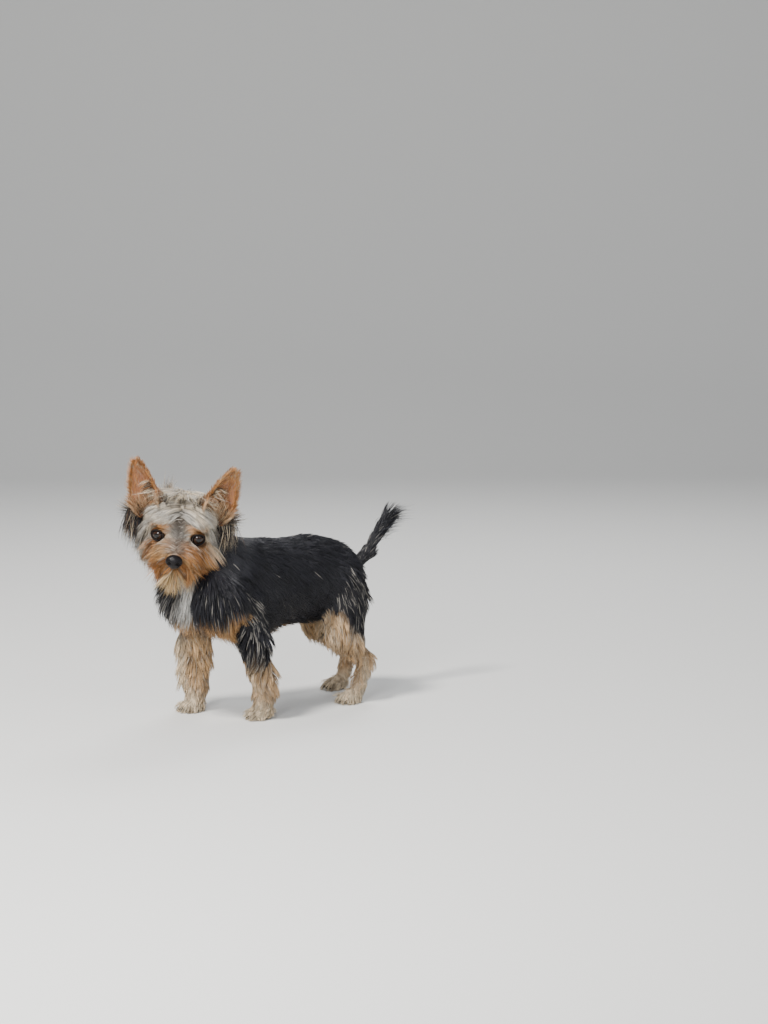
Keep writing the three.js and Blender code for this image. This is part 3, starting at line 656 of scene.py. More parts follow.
# Hair as closed three-sided strands
STRAND_RINGS = 4
STRAND_FACES = 2 * 3 * (STRAND_RINGS - 1) + 3 + 1
STRAND_POINTS = 3 * STRAND_RINGS + 1
TAPER = np.array([0.7, 1.0, 0.85, 0.5])
CURL = 0.06
DROOP = 0.35
ROOT_DEPTH = 1.2
PATCH = 0.003
PIECE_LIMIT = 190000 // STRAND_FACES


def strand_faces(count):
    ring = lambda k, i: k * 3 + i % 3
    faces = [(2, 1, 0)]
    for k in range(STRAND_RINGS - 1):
        for i in range(3):
            faces.append((ring(k, i), ring(k, i + 1), ring(k + 1, i + 1)))
            faces.append((ring(k, i), ring(k + 1, i + 1), ring(k + 1, i)))
    last = STRAND_RINGS - 1
    faces += [(ring(last, i), ring(last, i + 1), STRAND_POINTS - 1) for i in range(3)]
    starts = np.arange(count)[:, None, None] * STRAND_POINTS
    return (starts + np.array(faces)).reshape(-1, 3)


def lifted(points, least):
    """Points moved out to stand at least this far off the skin."""
    short = np.maximum(least - skin_field(points), 0)
    return points + gradient(skin_field, points) * short[:, None]


def grow(roots, lie, length, lift, clump, clump_size, swirl):
    """Paths of strands from roots on the skin, (count, rings + 1, 3), and the strand that each leans to."""
    out = gradient(skin_field, roots)
    lie = unit(lie)
    flat = unit(lie - out * (np.sum(lie * out, -1, keepdims=True) * 0.92))
    count = len(roots)
    jitter = rng.normal(0, 1, (count, 3)) * CURL
    sway = stacked(*[wander(roots, 16, seed) for seed in (21, 22, 23)]) * swirl
    flat = unit(flat + jitter + sway)
    steps = STRAND_RINGS
    path = np.empty((count, steps + 1, 3))
    path[:, 0] = roots - out * ROOT_DEPTH
    stride = (length / (steps - 0.4))[:, None]
    height = rng.uniform(0.15, 1, count) * np.clip(lift * 9, 0.8, 5)
    lift = lift[:, None]
    for k in range(1, steps + 1):
        t = (k - 1) / steps
        way = unit(flat + out * (lift * (1.2 - 1.5 * t)) + V(0, 0, -1) * DROOP * t * (lift > 0.2))
        path[:, k] = path[:, k - 1] + way * stride * (0.6 if k == 1 else 1)
        path[:, k] = lifted(path[:, k], 0.3 + height * (0.35 + 0.5 * t))
        path[:, k, 2] = np.maximum(path[:, k, 2], 0.5)
    guides = np.arange(0, count, clump_size)
    likeness = roots + flat * 9
    tree = KDTree(len(guides))
    for i, guide in enumerate(guides):
        tree.insert(likeness[guide], i)
    tree.balance()
    lock = np.array([guides[tree.find(key)[1]] for key in likeness])
    for k in range(1, steps + 1):
        pull = np.broadcast_to(clump * (k / steps) ** 1.3, count)[:, None]
        path[:, k] = path[:, k] * (1 - pull) + path[lock, k] * pull
    return path, lock


def trimmed(path, closed):
    """Strands cut short where they would cross a place that is kept clear, and which of them are left."""
    rows = np.arange(len(path))[:, None]

    def along(t):
        k = np.minimum(t.astype(int), STRAND_RINGS - 1)
        share = (t - k)[..., None]
        return path[rows, k] * (1 - share) + path[rows, k + 1] * share

    tries = np.linspace(0, STRAND_RINGS, 25)
    hit = closed(along(np.broadcast_to(tries, (len(path), len(tries)))))
    first = hit.argmax(1)
    reach = np.where(hit.any(1), tries[first] - 0.2, STRAND_RINGS)
    kept = reach > 0.8
    t = reach[:, None] * np.arange(STRAND_RINGS + 1) / STRAND_RINGS
    return along(t)[kept], kept


def strands(name, path, width, uv, colours):
    """A coat piece, or a few where one would have too many faces: dark at the root, paler to the tip."""
    count = len(path)
    way = np.gradient(path, axis=1)
    way = unit(way)[:, :STRAND_RINGS]
    up = unit(np.cross(way, np.roll(way, 1, axis=1) + V(0.31, 0.17, 0.93)))
    over = unit(np.cross(up, way))
    half = (width[:, None] * TAPER)[..., None] / 2
    middle = path[:, :STRAND_RINGS]
    ring = np.stack([middle - up * half, middle + over * half * 0.9, middle + up * half], 2)
    points = np.concatenate([ring.reshape(count, -1, 3), path[:, -1:]], 1)
    shade = np.append(np.linspace(0.55, 1.12, STRAND_RINGS).repeat(3), 1.15)
    tint = colours[:, None, :] * shade[None, :, None]
    across = np.append(np.tile([0, 0.5, 1], STRAND_RINGS), 0.5) - 0.5
    along = np.append(np.arange(STRAND_RINGS).repeat(3), STRAND_RINGS) / STRAND_RINGS - 0.5
    patch = stacked(across, along)[strand_faces(1).ravel()] * PATCH
    pieces = math.ceil(count / PIECE_LIMIT)
    for piece in range(pieces):
        part = slice(piece * count // pieces, (piece + 1) * count // pieces)
        label = name if pieces == 1 else f"{name}_{piece + 1}"
        make_object(
            label, points[part].reshape(-1, 3), strand_faces(part.stop - part.start), hair_material,
            tint[part].reshape(-1, 3), (uv[part, None, :] + patch[None]).reshape(-1, 2),
        )


# Materials
BUMP_DEPTH = 0.0006


def new_material(name, roughness, specular=0.5):
    material = bpy.data.materials.new(name)
    material.use_nodes = True
    shader = material.node_tree.nodes["Principled BSDF"]
    shader.inputs["Roughness"].default_value = roughness
    shader.inputs["Specular IOR Level"].default_value = specular
    return material, shader


def add_node(tree, kind, **inputs):
    """A shader node, with each of its named inputs joined to a socket or set to a value."""
    node = tree.nodes.new(f"ShaderNode{kind}")
    for name, value in inputs.items():
        socket = node.inputs[name.replace("_", " ")]
        if isinstance(value, bpy.types.NodeSocket):
            tree.links.new(value, socket)
        else:
            socket.default_value = value
    return node


def tinted_material(name, roughness, fineness, variation, bump=0.0, relief="TexNoise", grain=0, specular=0.5):
    """Colour from the mesh's own tint, varied by a noise, with a fine bump where it is asked for."""
    material, shader = new_material(name, roughness, specular)
    tree = material.node_tree
    tint = add_node(tree, "VertexColor")
    tint.layer_name = "tint"
    where = add_node(tree, "TexCoord").outputs["Object"]
    noise = add_node(tree, "TexNoise", Vector=where, Scale=fineness, Detail=4)
    level = add_node(tree, "MapRange", Value=noise.outputs["Fac"], To_Min=1 - variation, To_Max=1 + variation)
    scale = add_node(tree, "VectorMath")
    scale.operation = "SCALE"
    tree.links.new(tint.outputs["Color"], scale.inputs[0])
    tree.links.new(level.outputs["Result"], scale.inputs["Scale"])
    tree.links.new(scale.outputs["Vector"], shader.inputs["Base Color"])
    if bump:
        height = add_node(tree, relief, Vector=where, Scale=grain).outputs[0]
        normal = add_node(tree, "Bump", Strength=bump, Distance=BUMP_DEPTH, Height=height).outputs["Normal"]
        tree.links.new(normal, shader.inputs["Normal"])
    return material


hair_material = tinted_material("hair", 0.42, 160, 0.25, specular=0.35)
skin_material = tinted_material("skin", 0.7, 220, 0.3, bump=0.6, grain=700)
nose_material = tinted_material("nose_leather", 0.3, 300, 0.2, 0.3, "TexVoronoi", 1300, specular=0.2)
lid_material = tinted_material("lid", 0.55, 300, 0.2, bump=0.3, grain=800, specular=0.15)
eye_material = tinted_material("eye_glass", 0.05, 900, 0.25, specular=0.42)
claw_material = tinted_material("claw_horn", 0.35, 400, 0.2)

# The skin, over the trunk, neck, head, tail and legs at once
FLESH_NODES = ["torso", "neck", "head", "tail"]
for quarter, kinds in (("front", ("leg", "paw")), ("hind", ("thigh", "shank", "paw"))):
    FLESH_NODES += [f"{kind}_{quarter}_{SIDE_NAME[side]}" for kind in kinds for side in BOTH]
SKIN_CELL = 2.2
SKIN_LOW, SKIN_HIGH = V(-76, -215, -3), V(76, 180, 275)
SKIN_SHADE = 0.7
skin_points, skin_faces = surface_of(skin_field, SKIN_LOW, SKIN_HIGH, SKIN_CELL)
skin_colour = markings(skin_points, part_of(skin_points))[0] * SKIN_SHADE
face_middle = skin_points[skin_faces].mean(1)
face_part = part_of(face_middle)
corner_points = skin_points[skin_faces].reshape(-1, 3)
skin_uv = unwrap(corner_points, face_part.repeat(4), face_middle.repeat(4, 0))
skin = make_object("skin", skin_points, skin_faces, skin_material, skin_colour, skin_uv)
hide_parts(*FLESH_NODES)


# Where the hair grows: random places on the skin, more of them where the weight of its faces is higher
def roots_on_skin(count, weight):
    a, b, c, d = [skin_points[skin_faces[:, i]] for i in range(4)]
    area = np.linalg.norm(np.cross(c - a, d - b), axis=-1) * weight
    chosen = rng.choice(len(skin_faces), count, p=area / area.sum())
    s, t = rng.uniform(0, 1, (2, count, 1))
    corner = [skin_points[skin_faces[chosen, i]] for i in range(4)]
    top = corner[0] * (1 - s) + corner[1] * s
    bottom = corner[3] * (1 - s) + corner[2] * s
    return top * (1 - t) + bottom * t


def bare(p):
    """Places with no hair: eyes, nose, soles and the inside of the mouth."""
    local = place(HEAD_BACK, p)
    eyes = [np.linalg.norm(local - eye_place(side), axis=-1) < SOCKET + 0.9 for side in BOTH]
    nose = nose_field(local) < 1.2
    mouth = mouth_groove(local) < 0.4
    return eyes[0] | eyes[1] | nose | mouth | (p[..., 2] < 2.5)


def kept_clear(p):
    """The openings of the lids and the nose, seen from in front of them."""
    closed = np.zeros(p.shape[:-1], bool)
    for side in BOTH:
        local = place(np.linalg.inv(gaze_frame(side)), p)
        window = (local[..., 0] / 8.8) ** 2 + ((local[..., 2] - 0.8) / 7.3) ** 2 < 1
        closed |= window & (local[..., 1] < 0) & (local[..., 1] > -45)
    local = place(HEAD_BACK, p) - NOSE_PLACE
    nose = (local[..., 0] / 9.5) ** 2 + ((local[..., 2] - 2.0) / 6.4) ** 2 < 1
    lips = (np.abs(local[..., 0]) < 12) & (np.abs(local[..., 2] + 8.2 + 0.02 * local[..., 0] ** 2) < 1.5)
    return closed | ((nose | lips) & (local[..., 1] < 6))


def coat_of(name, number, count, width, clump=0.5, clump_size=7, swirl=0.16):
    """The coat of the part with this number."""
    on_head = number == HEAD_PART
    weight = (face_part == number) * (1 - bare(face_middle))
    if on_head:
        weight = weight * (1 + 1.6 * step(-place(HEAD_BACK, face_middle)[:, 1], 4, 24))
    roots = roots_on_skin(count, weight)
    part = np.full(count, number)
    colour, pale = markings(roots, part)
    if on_head:
        local = place(HEAD_BACK, roots)
        coat = head_lie(local)
        coat.way = aim(HEAD, coat.way)
        clump = clump - 0.3 * step(-local[:, 2], 26, 34)
    else:
        coat = body_lie(roots, part)
    length = coat.length * rng.uniform(0.75, 1.15, count)
    path, lock = grow(roots, coat.way, length, coat.lift, clump, clump_size, swirl)
    colour = colour * (rng.uniform(0.72, 1.28, count)[lock] * rng.uniform(0.8, 1.2, count))[:, None]
    grey = rng.uniform(0, 1, count) < pale
    colour = mix(colour, SILVER, grey * 0.55)
    wide = width * np.clip(length / 18, 0.55, 1) * rng.uniform(0.8, 1.25, count)
    uv = unwrap(roots, part)
    if on_head:
        path, kept = trimmed(path, kept_clear)
        wide, uv, colour = wide[kept], uv[kept], colour[kept]
    strands(name, path, wide, uv, colour)


coat_of("coat_trunk", TRUNK_PART, 15500, 1.15, clump=0.35)
coat_of("coat_neck", NECK_PART, 4500, 1.2)
coat_of("coat_head", HEAD_PART, 16000, 0.95, clump_size=9)
coat_of("coat_tail", TAIL_PART, 2800, 1.0)
for number, leg_name in enumerate(("front_left", "front_right", "hind_left", "hind_right"), FIRST_LEG):
    coat_of(f"coat_{leg_name}", number, 3900, 1.15, clump=0.6, clump_size=10, swirl=0.4)


def loose_hair(name, m, starts, way, bend, length, width, colour, part=HEAD_PART):
    """Hair that stands free of the skin: straight along its way, and carried off it by the bend."""
    starts, way, bend = place(m, starts), unit(aim(m, way)), aim(m, bend)
    path = np.empty((len(starts), STRAND_RINGS + 1, 3))
    path[:, 0] = starts
    for k in range(1, STRAND_RINGS + 1):
        t = k / STRAND_RINGS
        path[:, k] = lifted(starts + (way * t + bend * t * t) * length[:, None], 1.0)
    strands(name, path, width, unwrap(starts, np.full(len(starts), part)), colour)


def picked(colours, shares, count):
    """A colour for each strand, drawn from a few, each a little lighter or darker."""
    choice = rng.choice(len(colours), count, p=shares)
    return np.array(colours)[choice] * rng.uniform(0.75, 1.3, (count, 1))


# Ears: a thin cup open to the front, with short hair on both faces and a fringe
EAR_FULL = EAR_LENGTH + 12
EAR_COLUMNS, EAR_ROWS = 32, 40
EAR_HAIRS = 3400
EAR_CHART = 2 * CHARTS


def ear_frame(side):
    return HEAD @ shift(V(side * 32, 2, 12)) @ turn("y", side * EAR_LEAN[side]) @ turn("z", side * 14)


def ear_point(across, share, out):
    """A point of the ear in its own frame: across from -1 to 1, up by its share, and out behind its face."""
    base = np.clip(1 - share / 0.25, 0, 1) ** 2
    half = EAR_WIDTH / 2 * (1 - share ** 1.5) ** 0.72 * (1 - 0.38 * base)
    opening = np.radians(72 - 30 * share)
    radius = half / np.sin(opening)
    angle = across * opening
    reach = radius + out
    ahead = reach * np.cos(angle) - radius + 6 * share ** 2
    return stacked(reach * np.sin(angle), ahead, share * EAR_FULL)


def ear_mesh():
    """The two sheets of the ear, joined round their edges, and how far across it each point lies."""
    across, share = np.meshgrid(np.linspace(-1, 1, EAR_COLUMNS), np.linspace(0, 0.985, EAR_ROWS))
    points = np.concatenate([ear_point(across, share, out).reshape(-1, 3) for out in (0.0, EAR_THICKNESS)])
    index = lambda r, c, sheet: (sheet * EAR_ROWS + r) * EAR_COLUMNS + c
    faces = []
    for r in range(EAR_ROWS - 1):
        for c in range(EAR_COLUMNS - 1):
            faces.append((index(r, c, 0), index(r, c + 1, 0), index(r + 1, c + 1, 0), index(r + 1, c, 0)))
            faces.append((index(r, c, 1), index(r + 1, c, 1), index(r + 1, c + 1, 1), index(r, c + 1, 1)))
        for c, order in ((0, 1), (EAR_COLUMNS - 1, -1)):
            edge = (index(r, c, 0), index(r + 1, c, 0), index(r + 1, c, 1), index(r, c, 1))
            faces.append(edge[::order])
    for r, order in ((0, -1), (EAR_ROWS - 1, 1)):
        for c in range(EAR_COLUMNS - 1):
            edge = (index(r, c, 0), index(r, c + 1, 0), index(r, c + 1, 1), index(r, c, 1))
            faces.append(edge[::order])
    return points, np.array(faces), np.tile(across.ravel(), 2)


def ear_uv(across, share, side):
    return on_chart(EAR_CHART + (side < 0), (np.clip(across, -1, 1) + 1) / 2, np.clip(share, 0, 1))


def make_ear_skin(side):
    points, faces, across = ear_mesh()
    share = np.clip(points[:, 2] / EAR_FULL, 0, 1)
    inner = (np.arange(len(points)) < len(points) // 2)[:, None]
    rim = (np.abs(across) > 0.9)[:, None]
    # Inside, the skin is painted darker towards the middle of the cup, as shade in its hollow.
    colour = np.where(inner, mix(EAR_HOLLOW_SHADE, EAR_PINK, np.abs(across)), mix(UMBER, RUST * 0.7, share))
    colour = np.where(rim, RUST * 0.7, colour)
    points = place(ear_frame(side), points)
    uv = ear_uv(across, share, side)[faces.ravel()]
    ear = make_object(f"ear_skin_{SIDE_NAME[side]}", points, faces, skin_material, colour, uv)
    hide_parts(f"ear_{SIDE_NAME[side]}")


def make_ear_coat(side):
    """Short hair on both faces of the ear, with a fringe along its edges and longer hair at its foot."""
    count = EAR_HAIRS
    across = rng.uniform(-1, 1, count)
    share = rng.uniform(0.02, 0.97, count) ** 0.9
    back_face = rng.uniform(0, 1, count) < 0.5
    fringe = rng.uniform(0, 1, count) < 0.22
    across = np.where(fringe, np.sign(across) * rng.uniform(0.93, 1.0, count), across)
    out = np.where(back_face, EAR_THICKNESS, 0.0)
    root = ear_point(across, share, out)
    ahead = ear_point(across, np.clip(share + 0.02, 0, 0.995), out)
    beside = ear_point(np.clip(across + 0.02, -1.1, 1.02), share, out)
    up = unit(ahead - root)
    wide = unit(beside - root)
    normal = unit(np.cross(wide, up)) * np.where(back_face, -1, 1)[:, None]
    outward = np.sign(across)[:, None] * wide
    at_edge = step(np.abs(across), 0.6, 1.0)[:, None]
    low = step(-share, -0.42, -0.12)
    way = unit(up * 0.8 + outward * at_edge * 0.75 + rng.normal(0, 0.13, (count, 3)))
    inner_low = (low * (~back_face))[:, None]
    way = unit(way * (1 - 0.6 * inner_low) + V(-side * 0.25, -0.55, 0.6) * inner_low * 0.6)
    length = (6 + 2.5 * at_edge[:, 0] + 13 * low) * rng.uniform(0.7, 1.2, count)
    lift = (0.25 + 0.35 * low)[:, None]
    long = length[:, None]
    path = np.stack([
        root - normal * 0.5 + way * long * t + normal * lift * long * (t - 0.6 * t * t)
        for t in np.arange(STRAND_RINGS + 1) / STRAND_RINGS
    ], 1)
    patches = wander(root, 8, 31 + side)
    inside = painted(
        RUST * 1.25,
        (GOLD, step(patches, -0.4, 0.9) * 0.5),
        (UMBER, step(-patches, 0.1, 0.9) * 0.55),
        (CREAM, low * 0.45),
    )
    outside = mix(RUST * 0.8, GREY, low)
    colour = np.where(back_face[:, None], outside, inside) * rng.uniform(0.75, 1.3, (count, 1))
    pale = (rng.uniform(0, 1, count) < 0.12)[:, None]
    colour = np.where(pale, CREAM * 0.8, colour)
    strands(
        f"coat_ear_{SIDE_NAME[side]}", place(ear_frame(side), path), rng.uniform(0.5, 0.9, count),
        ear_uv(across, share, side), colour,
    )


def make_curtain(side):
    """Long dark hair with pale streaks, hanging beside the face from the ear and the skull."""
    for origin, count in (("ear", 620), ("skull", 1000)):
        if origin == "ear":
            share = rng.uniform(0.0, 0.34, count)
            across = side * rng.uniform(0.4, 1.0, count)
            edge = ear_point(across, share, rng.uniform(-1.6, EAR_THICKNESS, count))
            starts = place(HEAD_BACK @ ear_frame(side), edge)
            length = rng.uniform(20, 42, count)
        else:
            out = unit(stacked(side * 0.85, rng.uniform(-0.12, 0.5, count), rng.uniform(-0.1, 0.7, count)))
            starts = V(0, 2, 4) + out * V(36, 37, 31)
            length = rng.uniform(30, 50, count)
        way = V(side * 0.42, -0.04, -0.85) + rng.normal(0, 0.16, (count, 3))
        bend = V(-side * 0.28, 0.02, -0.2) + rng.normal(0, 0.08, (count, 3))
        colour = picked([BLACK, UMBER, GREY, CREAM], [0.45, 0.2, 0.15, 0.2], count)
        width = rng.uniform(0.5, 0.85, count)
        loose_hair(f"curtain_{origin}_{SIDE_NAME[side]}", HEAD, starts, way, bend, length, width, colour)


def make_ear_hair(side, count):
    """Longer hair from the inner edge of the ear, lying across its opening."""
    share = rng.uniform(0.08, 0.62, count)
    starts = ear_point(-side * rng.uniform(0.45, 1.0, count), share, np.zeros(count))
    way = V(side * 0.75, -0.5, 0.25) + rng.normal(0, 0.2, (count, 3))
    bend = V(side * 0.1, 0.35, -0.35) + rng.normal(0, 0.1, (count, 3))
    colour = picked([CREAM, UMBER, RUST * 1.2, BLACK], [0.38, 0.27, 0.2, 0.15], count)
    loose_hair(
        f"ear_hair_{SIDE_NAME[side]}", ear_frame(side), starts, way, bend, rng.uniform(10, 21, count),
        rng.uniform(0.45, 0.8, count), colour,
    )


def make_topknot():
    """A loose fan of pale hair on the crown."""
    count = 420
    across = rng.uniform(-1, 1, count)
    starts = stacked(across * 9, rng.uniform(-6, 10, count), 33.0)
    way = stacked(across * 0.25, rng.uniform(-0.35, 0.05, count), 1.0)
    bend = stacked(across * 0.6 + rng.normal(0, 0.35, count), -0.3, -0.8)
    way += rng.normal(0, 0.13, (count, 3))
    bend += rng.normal(0, 0.06, (count, 3))
    loose_hair(
        "topknot", HEAD, starts, way, bend, rng.uniform(24, 40, count), rng.uniform(0.5, 0.8, count),
        picked([CREAM, SILVER * 1.2, GREY], [0.4, 0.45, 0.15], count),
    )


def make_crown_wisps():
    """A few fine dark hairs between the topknot and the right ear."""
    count = 90
    starts = V(-19, 4, 30) + rng.normal(0, 3.0, (count, 3))
    way = V(-0.05, -0.05, 1) + rng.normal(0, 0.16, (count, 3))
    bend = V(0.12, 0.1, 0) + rng.normal(0, 0.16, (count, 3))
    loose_hair(
        "crown_wisps", HEAD, starts, way, bend, rng.uniform(16, 27, count), rng.uniform(0.35, 0.6, count),
        picked([UMBER, GREY, CREAM], [0.6, 0.25, 0.15], count),
    )


def make_tail_wisps():
    """Long fine hair that leaves the end of the tail and bends back and down."""
    count = 420
    climb = rng.uniform(0.45, 1.0, count)[:, None]
    starts = TAIL_BEND * (1 - climb) + TAIL_TIP * climb + rng.normal(0, 3.2, (count, 3))
    way = unit(TAIL_TIP - TAIL_BEND) + rng.normal(0, 0.16, (count, 3)) + V(0, 0.12, 0)
    bend = V(0.05, 0.75, -0.42) + rng.normal(0, 0.12, (count, 3))
    # A share of the strands takes the painted bluish sheen colour.
    loose_hair(
        "tail_wisps", np.eye(4), starts, way, bend, rng.uniform(16, 33, count) * climb[:, 0],
        rng.uniform(0.35, 0.7, count), picked([BLACK, STEEL_SHEEN], [0.85, 0.15], count), TAIL_PART,
    )


for side, crossing in ((1, 420), (-1, 240)):
    make_ear_skin(side)
    make_ear_coat(side)
    make_curtain(side)
    make_ear_hair(side, crossing)
make_topknot()
make_crown_wisps()
make_tail_wisps()


# Colours of the eyes, linear
PUPIL = V(0.003, 0.003, 0.003)
IRIS, IRIS_SPOKES = V(0.034, 0.014, 0.007), V(0.016, 0.007, 0.004)
IRIS_EDGE = V(0.006, 0.004, 0.003)
EYE_WHITE = V(0.16, 0.12, 0.10)


def ring_quads(rings, sides, start=0, closed=False):
    """Corners of the faces between rings of points; closed joins the last ring to the first."""
    quads = []
    for k in range(rings if closed else rings - 1):
        here, there = start + k * sides, start + (k + 1) % rings * sides
        for i in range(sides):
            n = (i + 1) % sides
            quads.append((here + i, here + n, there + n, there + i))
    return quads


# Eyes: a ball that bulges in front, with pupil, brown iris and a dark edge
def make_eye(side):
    rings, sides = 48, 64
    polar = np.linspace(0, math.pi, rings + 1)[1:-1]
    turns = np.arange(sides) * 2 * math.pi / sides
    grid_polar, grid_turn = np.meshgrid(polar, turns, indexing="ij")
    bulge = 0.45 * np.exp(-(grid_polar / 0.55) ** 2)
    radius = EYE_RADIUS - 0.2 + bulge
    ring = stacked(
        radius * np.sin(grid_polar) * np.cos(grid_turn), -radius * np.cos(grid_polar),
        radius * np.sin(grid_polar) * np.sin(grid_turn),
    ).reshape(-1, 3)
    front = V(0, -(EYE_RADIUS + 0.25), 0)
    rear = V(0, EYE_RADIUS - 0.2, 0)
    points = np.concatenate([ring, front[None], rear[None]])
    faces = []
    for a, b, c, d in ring_quads(len(polar), sides):
        faces += [(a, b, c), (a, c, d)]
    last = (len(polar) - 1) * sides
    for i in range(sides):
        n = (i + 1) % sides
        faces += [(len(ring), n, i), (len(ring) + 1, last + i, last + n)]
    faces = np.array(faces)
    out = np.append(grid_polar.ravel(), [0, math.pi])
    spokes = np.append(np.cos(grid_turn.ravel() * 19) * 0.5 + 0.5, [0, 0])
    colour = painted(
        PUPIL,
        (mix(IRIS, IRIS_SPOKES, spokes), step(out, 0.34, 0.42)),
        (IRIS_EDGE, step(out, 0.66, 0.76)),
        (EYE_WHITE, step(out, 0.92, 1.02)),
    )
    u = np.append(grid_turn.ravel() / (2 * math.pi), [0.5, 0.5])
    uv = stacked(u, out / math.pi)[faces.ravel()]
    ball_points = place(gaze_frame(side), points)
    eye = make_object(f"eyeball_{SIDE_NAME[side]}", ball_points, faces, eye_material, colour, uv)
    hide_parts(f"eye_{SIDE_NAME[side]}")


# Lids
LID_THICKNESS = 1.15
LID_REACH = 1.62


def almond(turns):
    """Half opening of the lids, as an angle from the gaze, for each direction round it."""
    x, z = np.cos(turns), np.sin(turns)
    height = np.where(z > 0, 0.76, 0.64)
    return 1 / np.sqrt((x / 1.06) ** 2 + (z / height) ** 2)


def make_lids(side):
    """A skin round the eyeball: rows of points from its round edge, back over the ball and in again."""
    sides, rings = 72, 12
    turns = np.arange(sides) * 2 * math.pi / sides
    edge = almond(turns)
    inner = EYE_RADIUS + 0.25
    rows = []
    for k in range(5):
        bend = math.pi * k / 4
        radius = inner + LID_THICKNESS / 2 - math.cos(bend) * LID_THICKNESS / 2
        rows.append((edge + 0.02 - math.sin(bend) * 0.07, radius))
    for k in range(1, rings + 1):
        t = k / rings
        radius = inner + LID_THICKNESS + 0.5 * math.sin(t * math.pi) - 1.5 * t * t
        rows.append((edge * (1 - t) + LID_REACH * t, radius))
    rows.append((np.full(sides, LID_REACH), EYE_RADIUS + 0.22))
    points = np.concatenate([
        radius * stacked(np.sin(polar) * np.cos(turns), -np.cos(polar), np.sin(polar) * np.sin(turns))
        for polar, radius in rows
    ])
    count = len(rows)
    faces = np.array(ring_quads(count, sides, closed=True))
    rim = np.repeat(1 - step(np.arange(count) - 5.0, 0, 5), sides)
    colour = mix(RUST * 0.45, V(0.008, 0.006, 0.006), rim)
    u = np.tile(turns / (2 * math.pi), count)
    v = np.repeat(np.linspace(0, 1, count), sides)
    uv = stacked(u, v)[faces.ravel()]
    lids = place(gaze_frame(side), points)
    make_object(f"eyelids_{SIDE_NAME[side]}", lids, faces, lid_material, colour, uv)


for side in BOTH:
    make_eye(side)
    make_lids(side)


# Nose leather, with its nostrils and groove
NOSE_CELL = 0.55
NOSE_REACH = 14


def nose_shape(p):
    total = nose_body(4, 3.5, 5)(p)
    for side in BOTH:
        middle = NOSE_PLACE + V(side * 4.6, -4, 0)
        hole = blended(1.5, [
            limb(middle + V(side * -1.4, -3, 0.4), 2.1, middle + V(side * 0.6, 0, 0.6), 1.7),
            limb(middle + V(side * 0.6, 0, 0.6), 1.5, middle + V(side * 4.5, 4, -2.5), 0.9),
        ])
        total = cut(total, hole(p), 0.7)
    groove = limb(NOSE_PLACE + V(0, -6.5, 1), 0.45, NOSE_PLACE + V(0, -4, -10), 0.6)
    return cut(total, groove(p), 0.8)


nose_points, nose_faces = surface_of(nose_shape, NOSE_PLACE - NOSE_REACH, NOSE_PLACE + NOSE_REACH, NOSE_CELL)
# Leather that lies deeper than the nose's outer form, in the nostrils and on its underside, is painted
# darker, as shade.
outer = step(nose_field(nose_points), -1.6, -0.3)
nose_colour = mix(V(0.004, 0.003, 0.003), V(0.006, 0.005, 0.006), outer)
nose_uv = (nose_points[nose_faces.ravel()][:, [0, 2]] - NOSE_PLACE[[0, 2]]) / 30 + 0.5
nose = make_object(
    "nose_leather", place(HEAD, nose_points), nose_faces, nose_material, nose_colour, nose_uv,
)
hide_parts("nose")


# Claws: a short dark curve from the end of each toe
def make_claws():
    rings, sides = 7, 8
    points, faces = [], []
    for paw, share in [(leg["paw"], share) for leg in LEGS for share in TOES]:
        base = toe_place(paw, share) + V(0, -6.5, 5.5)
        start = len(points)
        for k in range(rings):
            t = k / (rings - 1)
            middle = base + V(share * 2 * t, -5.5 * t, -3.2 * t * t)
            radius = 1.25 * (1 - t) ** 0.6 + 0.05
            for i in range(sides):
                angle = i * 2 * math.pi / sides
                points.append(middle + V(math.cos(angle) * radius * 0.7, 0, math.sin(angle) * radius))
        for a, b, c, d in ring_quads(rings, sides, start):
            faces += [(a, d, c), (a, c, b)]
        tip = start + (rings - 1) * sides
        faces += [(start, start + i, start + i + 1) for i in range(1, sides - 1)]
        faces += [(tip, tip + i + 1, tip + i) for i in range(1, sides - 1)]
    points, faces = np.array(points), np.array(faces)
    colour = np.repeat(V(0.020, 0.016, 0.014)[None], len(points), 0)
    uv = (points[faces.ravel()][:, :2] - points[:, :2].min(0)) / np.ptp(points[:, :2], axis=0).max()
    make_object("claws", points, faces, claw_material, colour, uv)


make_claws()


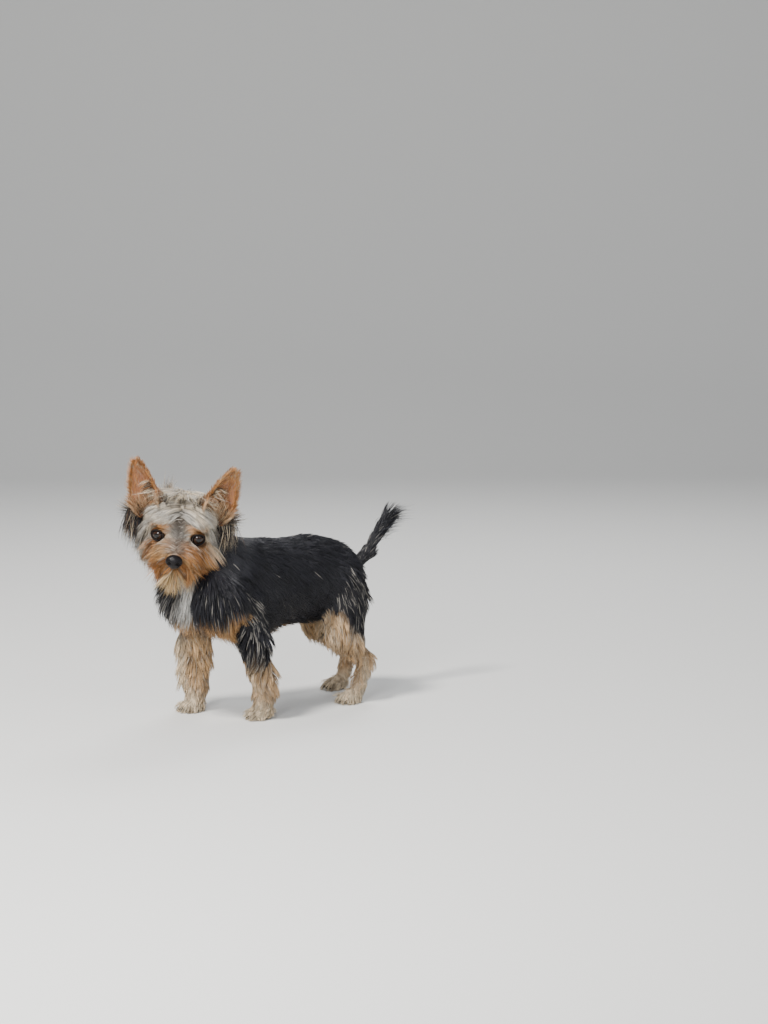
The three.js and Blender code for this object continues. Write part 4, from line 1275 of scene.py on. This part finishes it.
# Floor, light and camera, in metres
def make_floor():
    """A sheet of paper that lies under the dog and rises in a round bend behind it."""
    mesh = bpy.data.meshes.new("floor")
    far, near, width, rise, bend = 4.0, 4.0, 6.0, 3.0, 1.2
    angle = math.radians(AZIMUTH)
    ahead = V(-math.sin(angle), math.cos(angle), 0)
    across = V(math.cos(angle), math.sin(angle), 0)
    turns = np.linspace(0, math.pi / 2, 24)
    profile = [(far - bend + bend * math.sin(t), bend - bend * math.cos(t)) for t in turns]
    profile = [(-near, 0), *profile, (far, rise)]
    points = [tuple(ahead * d + across * w + V(0, 0, h)) for d, h in profile for w in (-width, width)]
    faces = [(2 * i, 2 * i + 1, 2 * i + 3, 2 * i + 2) for i in range(len(profile) - 1)]
    mesh.from_pydata(points, [], faces)
    for polygon in mesh.polygons:
        polygon.use_smooth = True
    material, shader = new_material("floor_paper", 0.85)
    shader.inputs["Base Color"].default_value = (0.74, 0.74, 0.72, 1)
    mesh.materials.append(material)
    in_scene("floor", mesh)


def make_camera():
    angle = math.radians(AZIMUTH)
    origin = TO_FRAME * MM
    spot = origin + V(math.sin(angle) * CAMERA_DISTANCE, -math.cos(angle) * CAMERA_DISTANCE, 0)
    spot[2] = CAMERA_HEIGHT
    pitch = math.atan((IMAGE_HEIGHT / 2 - HORIZON_PX) / FOCAL_PX)
    aside = math.atan((IMAGE_WIDTH / 2 - ORIGIN_PX) / FOCAL_PX)
    data = bpy.data.cameras.new("camera")
    data.sensor_width = SENSOR_MM
    data.lens = FOCAL_PX * SENSOR_MM / IMAGE_HEIGHT
    camera = in_scene("camera", data)
    camera.location = spot
    camera.rotation_euler = (math.pi / 2 - pitch, 0, angle - aside)
    bpy.context.scene.camera = camera


def area_light(name, azimuth, elevation, distance, size, power, colour=(1, 1, 1)):
    data = bpy.data.lights.new(name, "AREA")
    data.shape = "DISK"
    data.size = size
    data.energy = power
    data.color = colour
    lamp = in_scene(name, data)
    a, e = math.radians(azimuth), math.radians(elevation)
    spot = V(math.sin(a) * math.cos(e), -math.cos(a) * math.cos(e), math.sin(e)) * distance
    lamp.location = spot + V(0, 0, 0.15)
    away = spot / np.linalg.norm(spot)
    lamp.rotation_euler = (math.acos(away[2]), 0, math.atan2(away[1], away[0]) + math.pi / 2)


make_camera()
make_floor()
area_light("key", AZIMUTH - 42, 55, 2.4, 0.5, 84, (1.0, 0.97, 0.93))
area_light("fill", AZIMUTH + 40, 28, 2.6, 1.4, 9, (0.94, 0.97, 1.0))
area_light("catch", AZIMUTH - 14, 24, 1.6, 0.5, 14)
area_light("rim", AZIMUTH + 170, 48, 2.4, 1.0, 26)
world = bpy.data.worlds.new("studio")
world.use_nodes = True
world.node_tree.nodes["Background"].inputs["Color"].default_value = (0.9, 0.93, 1.0, 1)
world.node_tree.nodes["Background"].inputs["Strength"].default_value = 0.4
bpy.context.scene.world = world
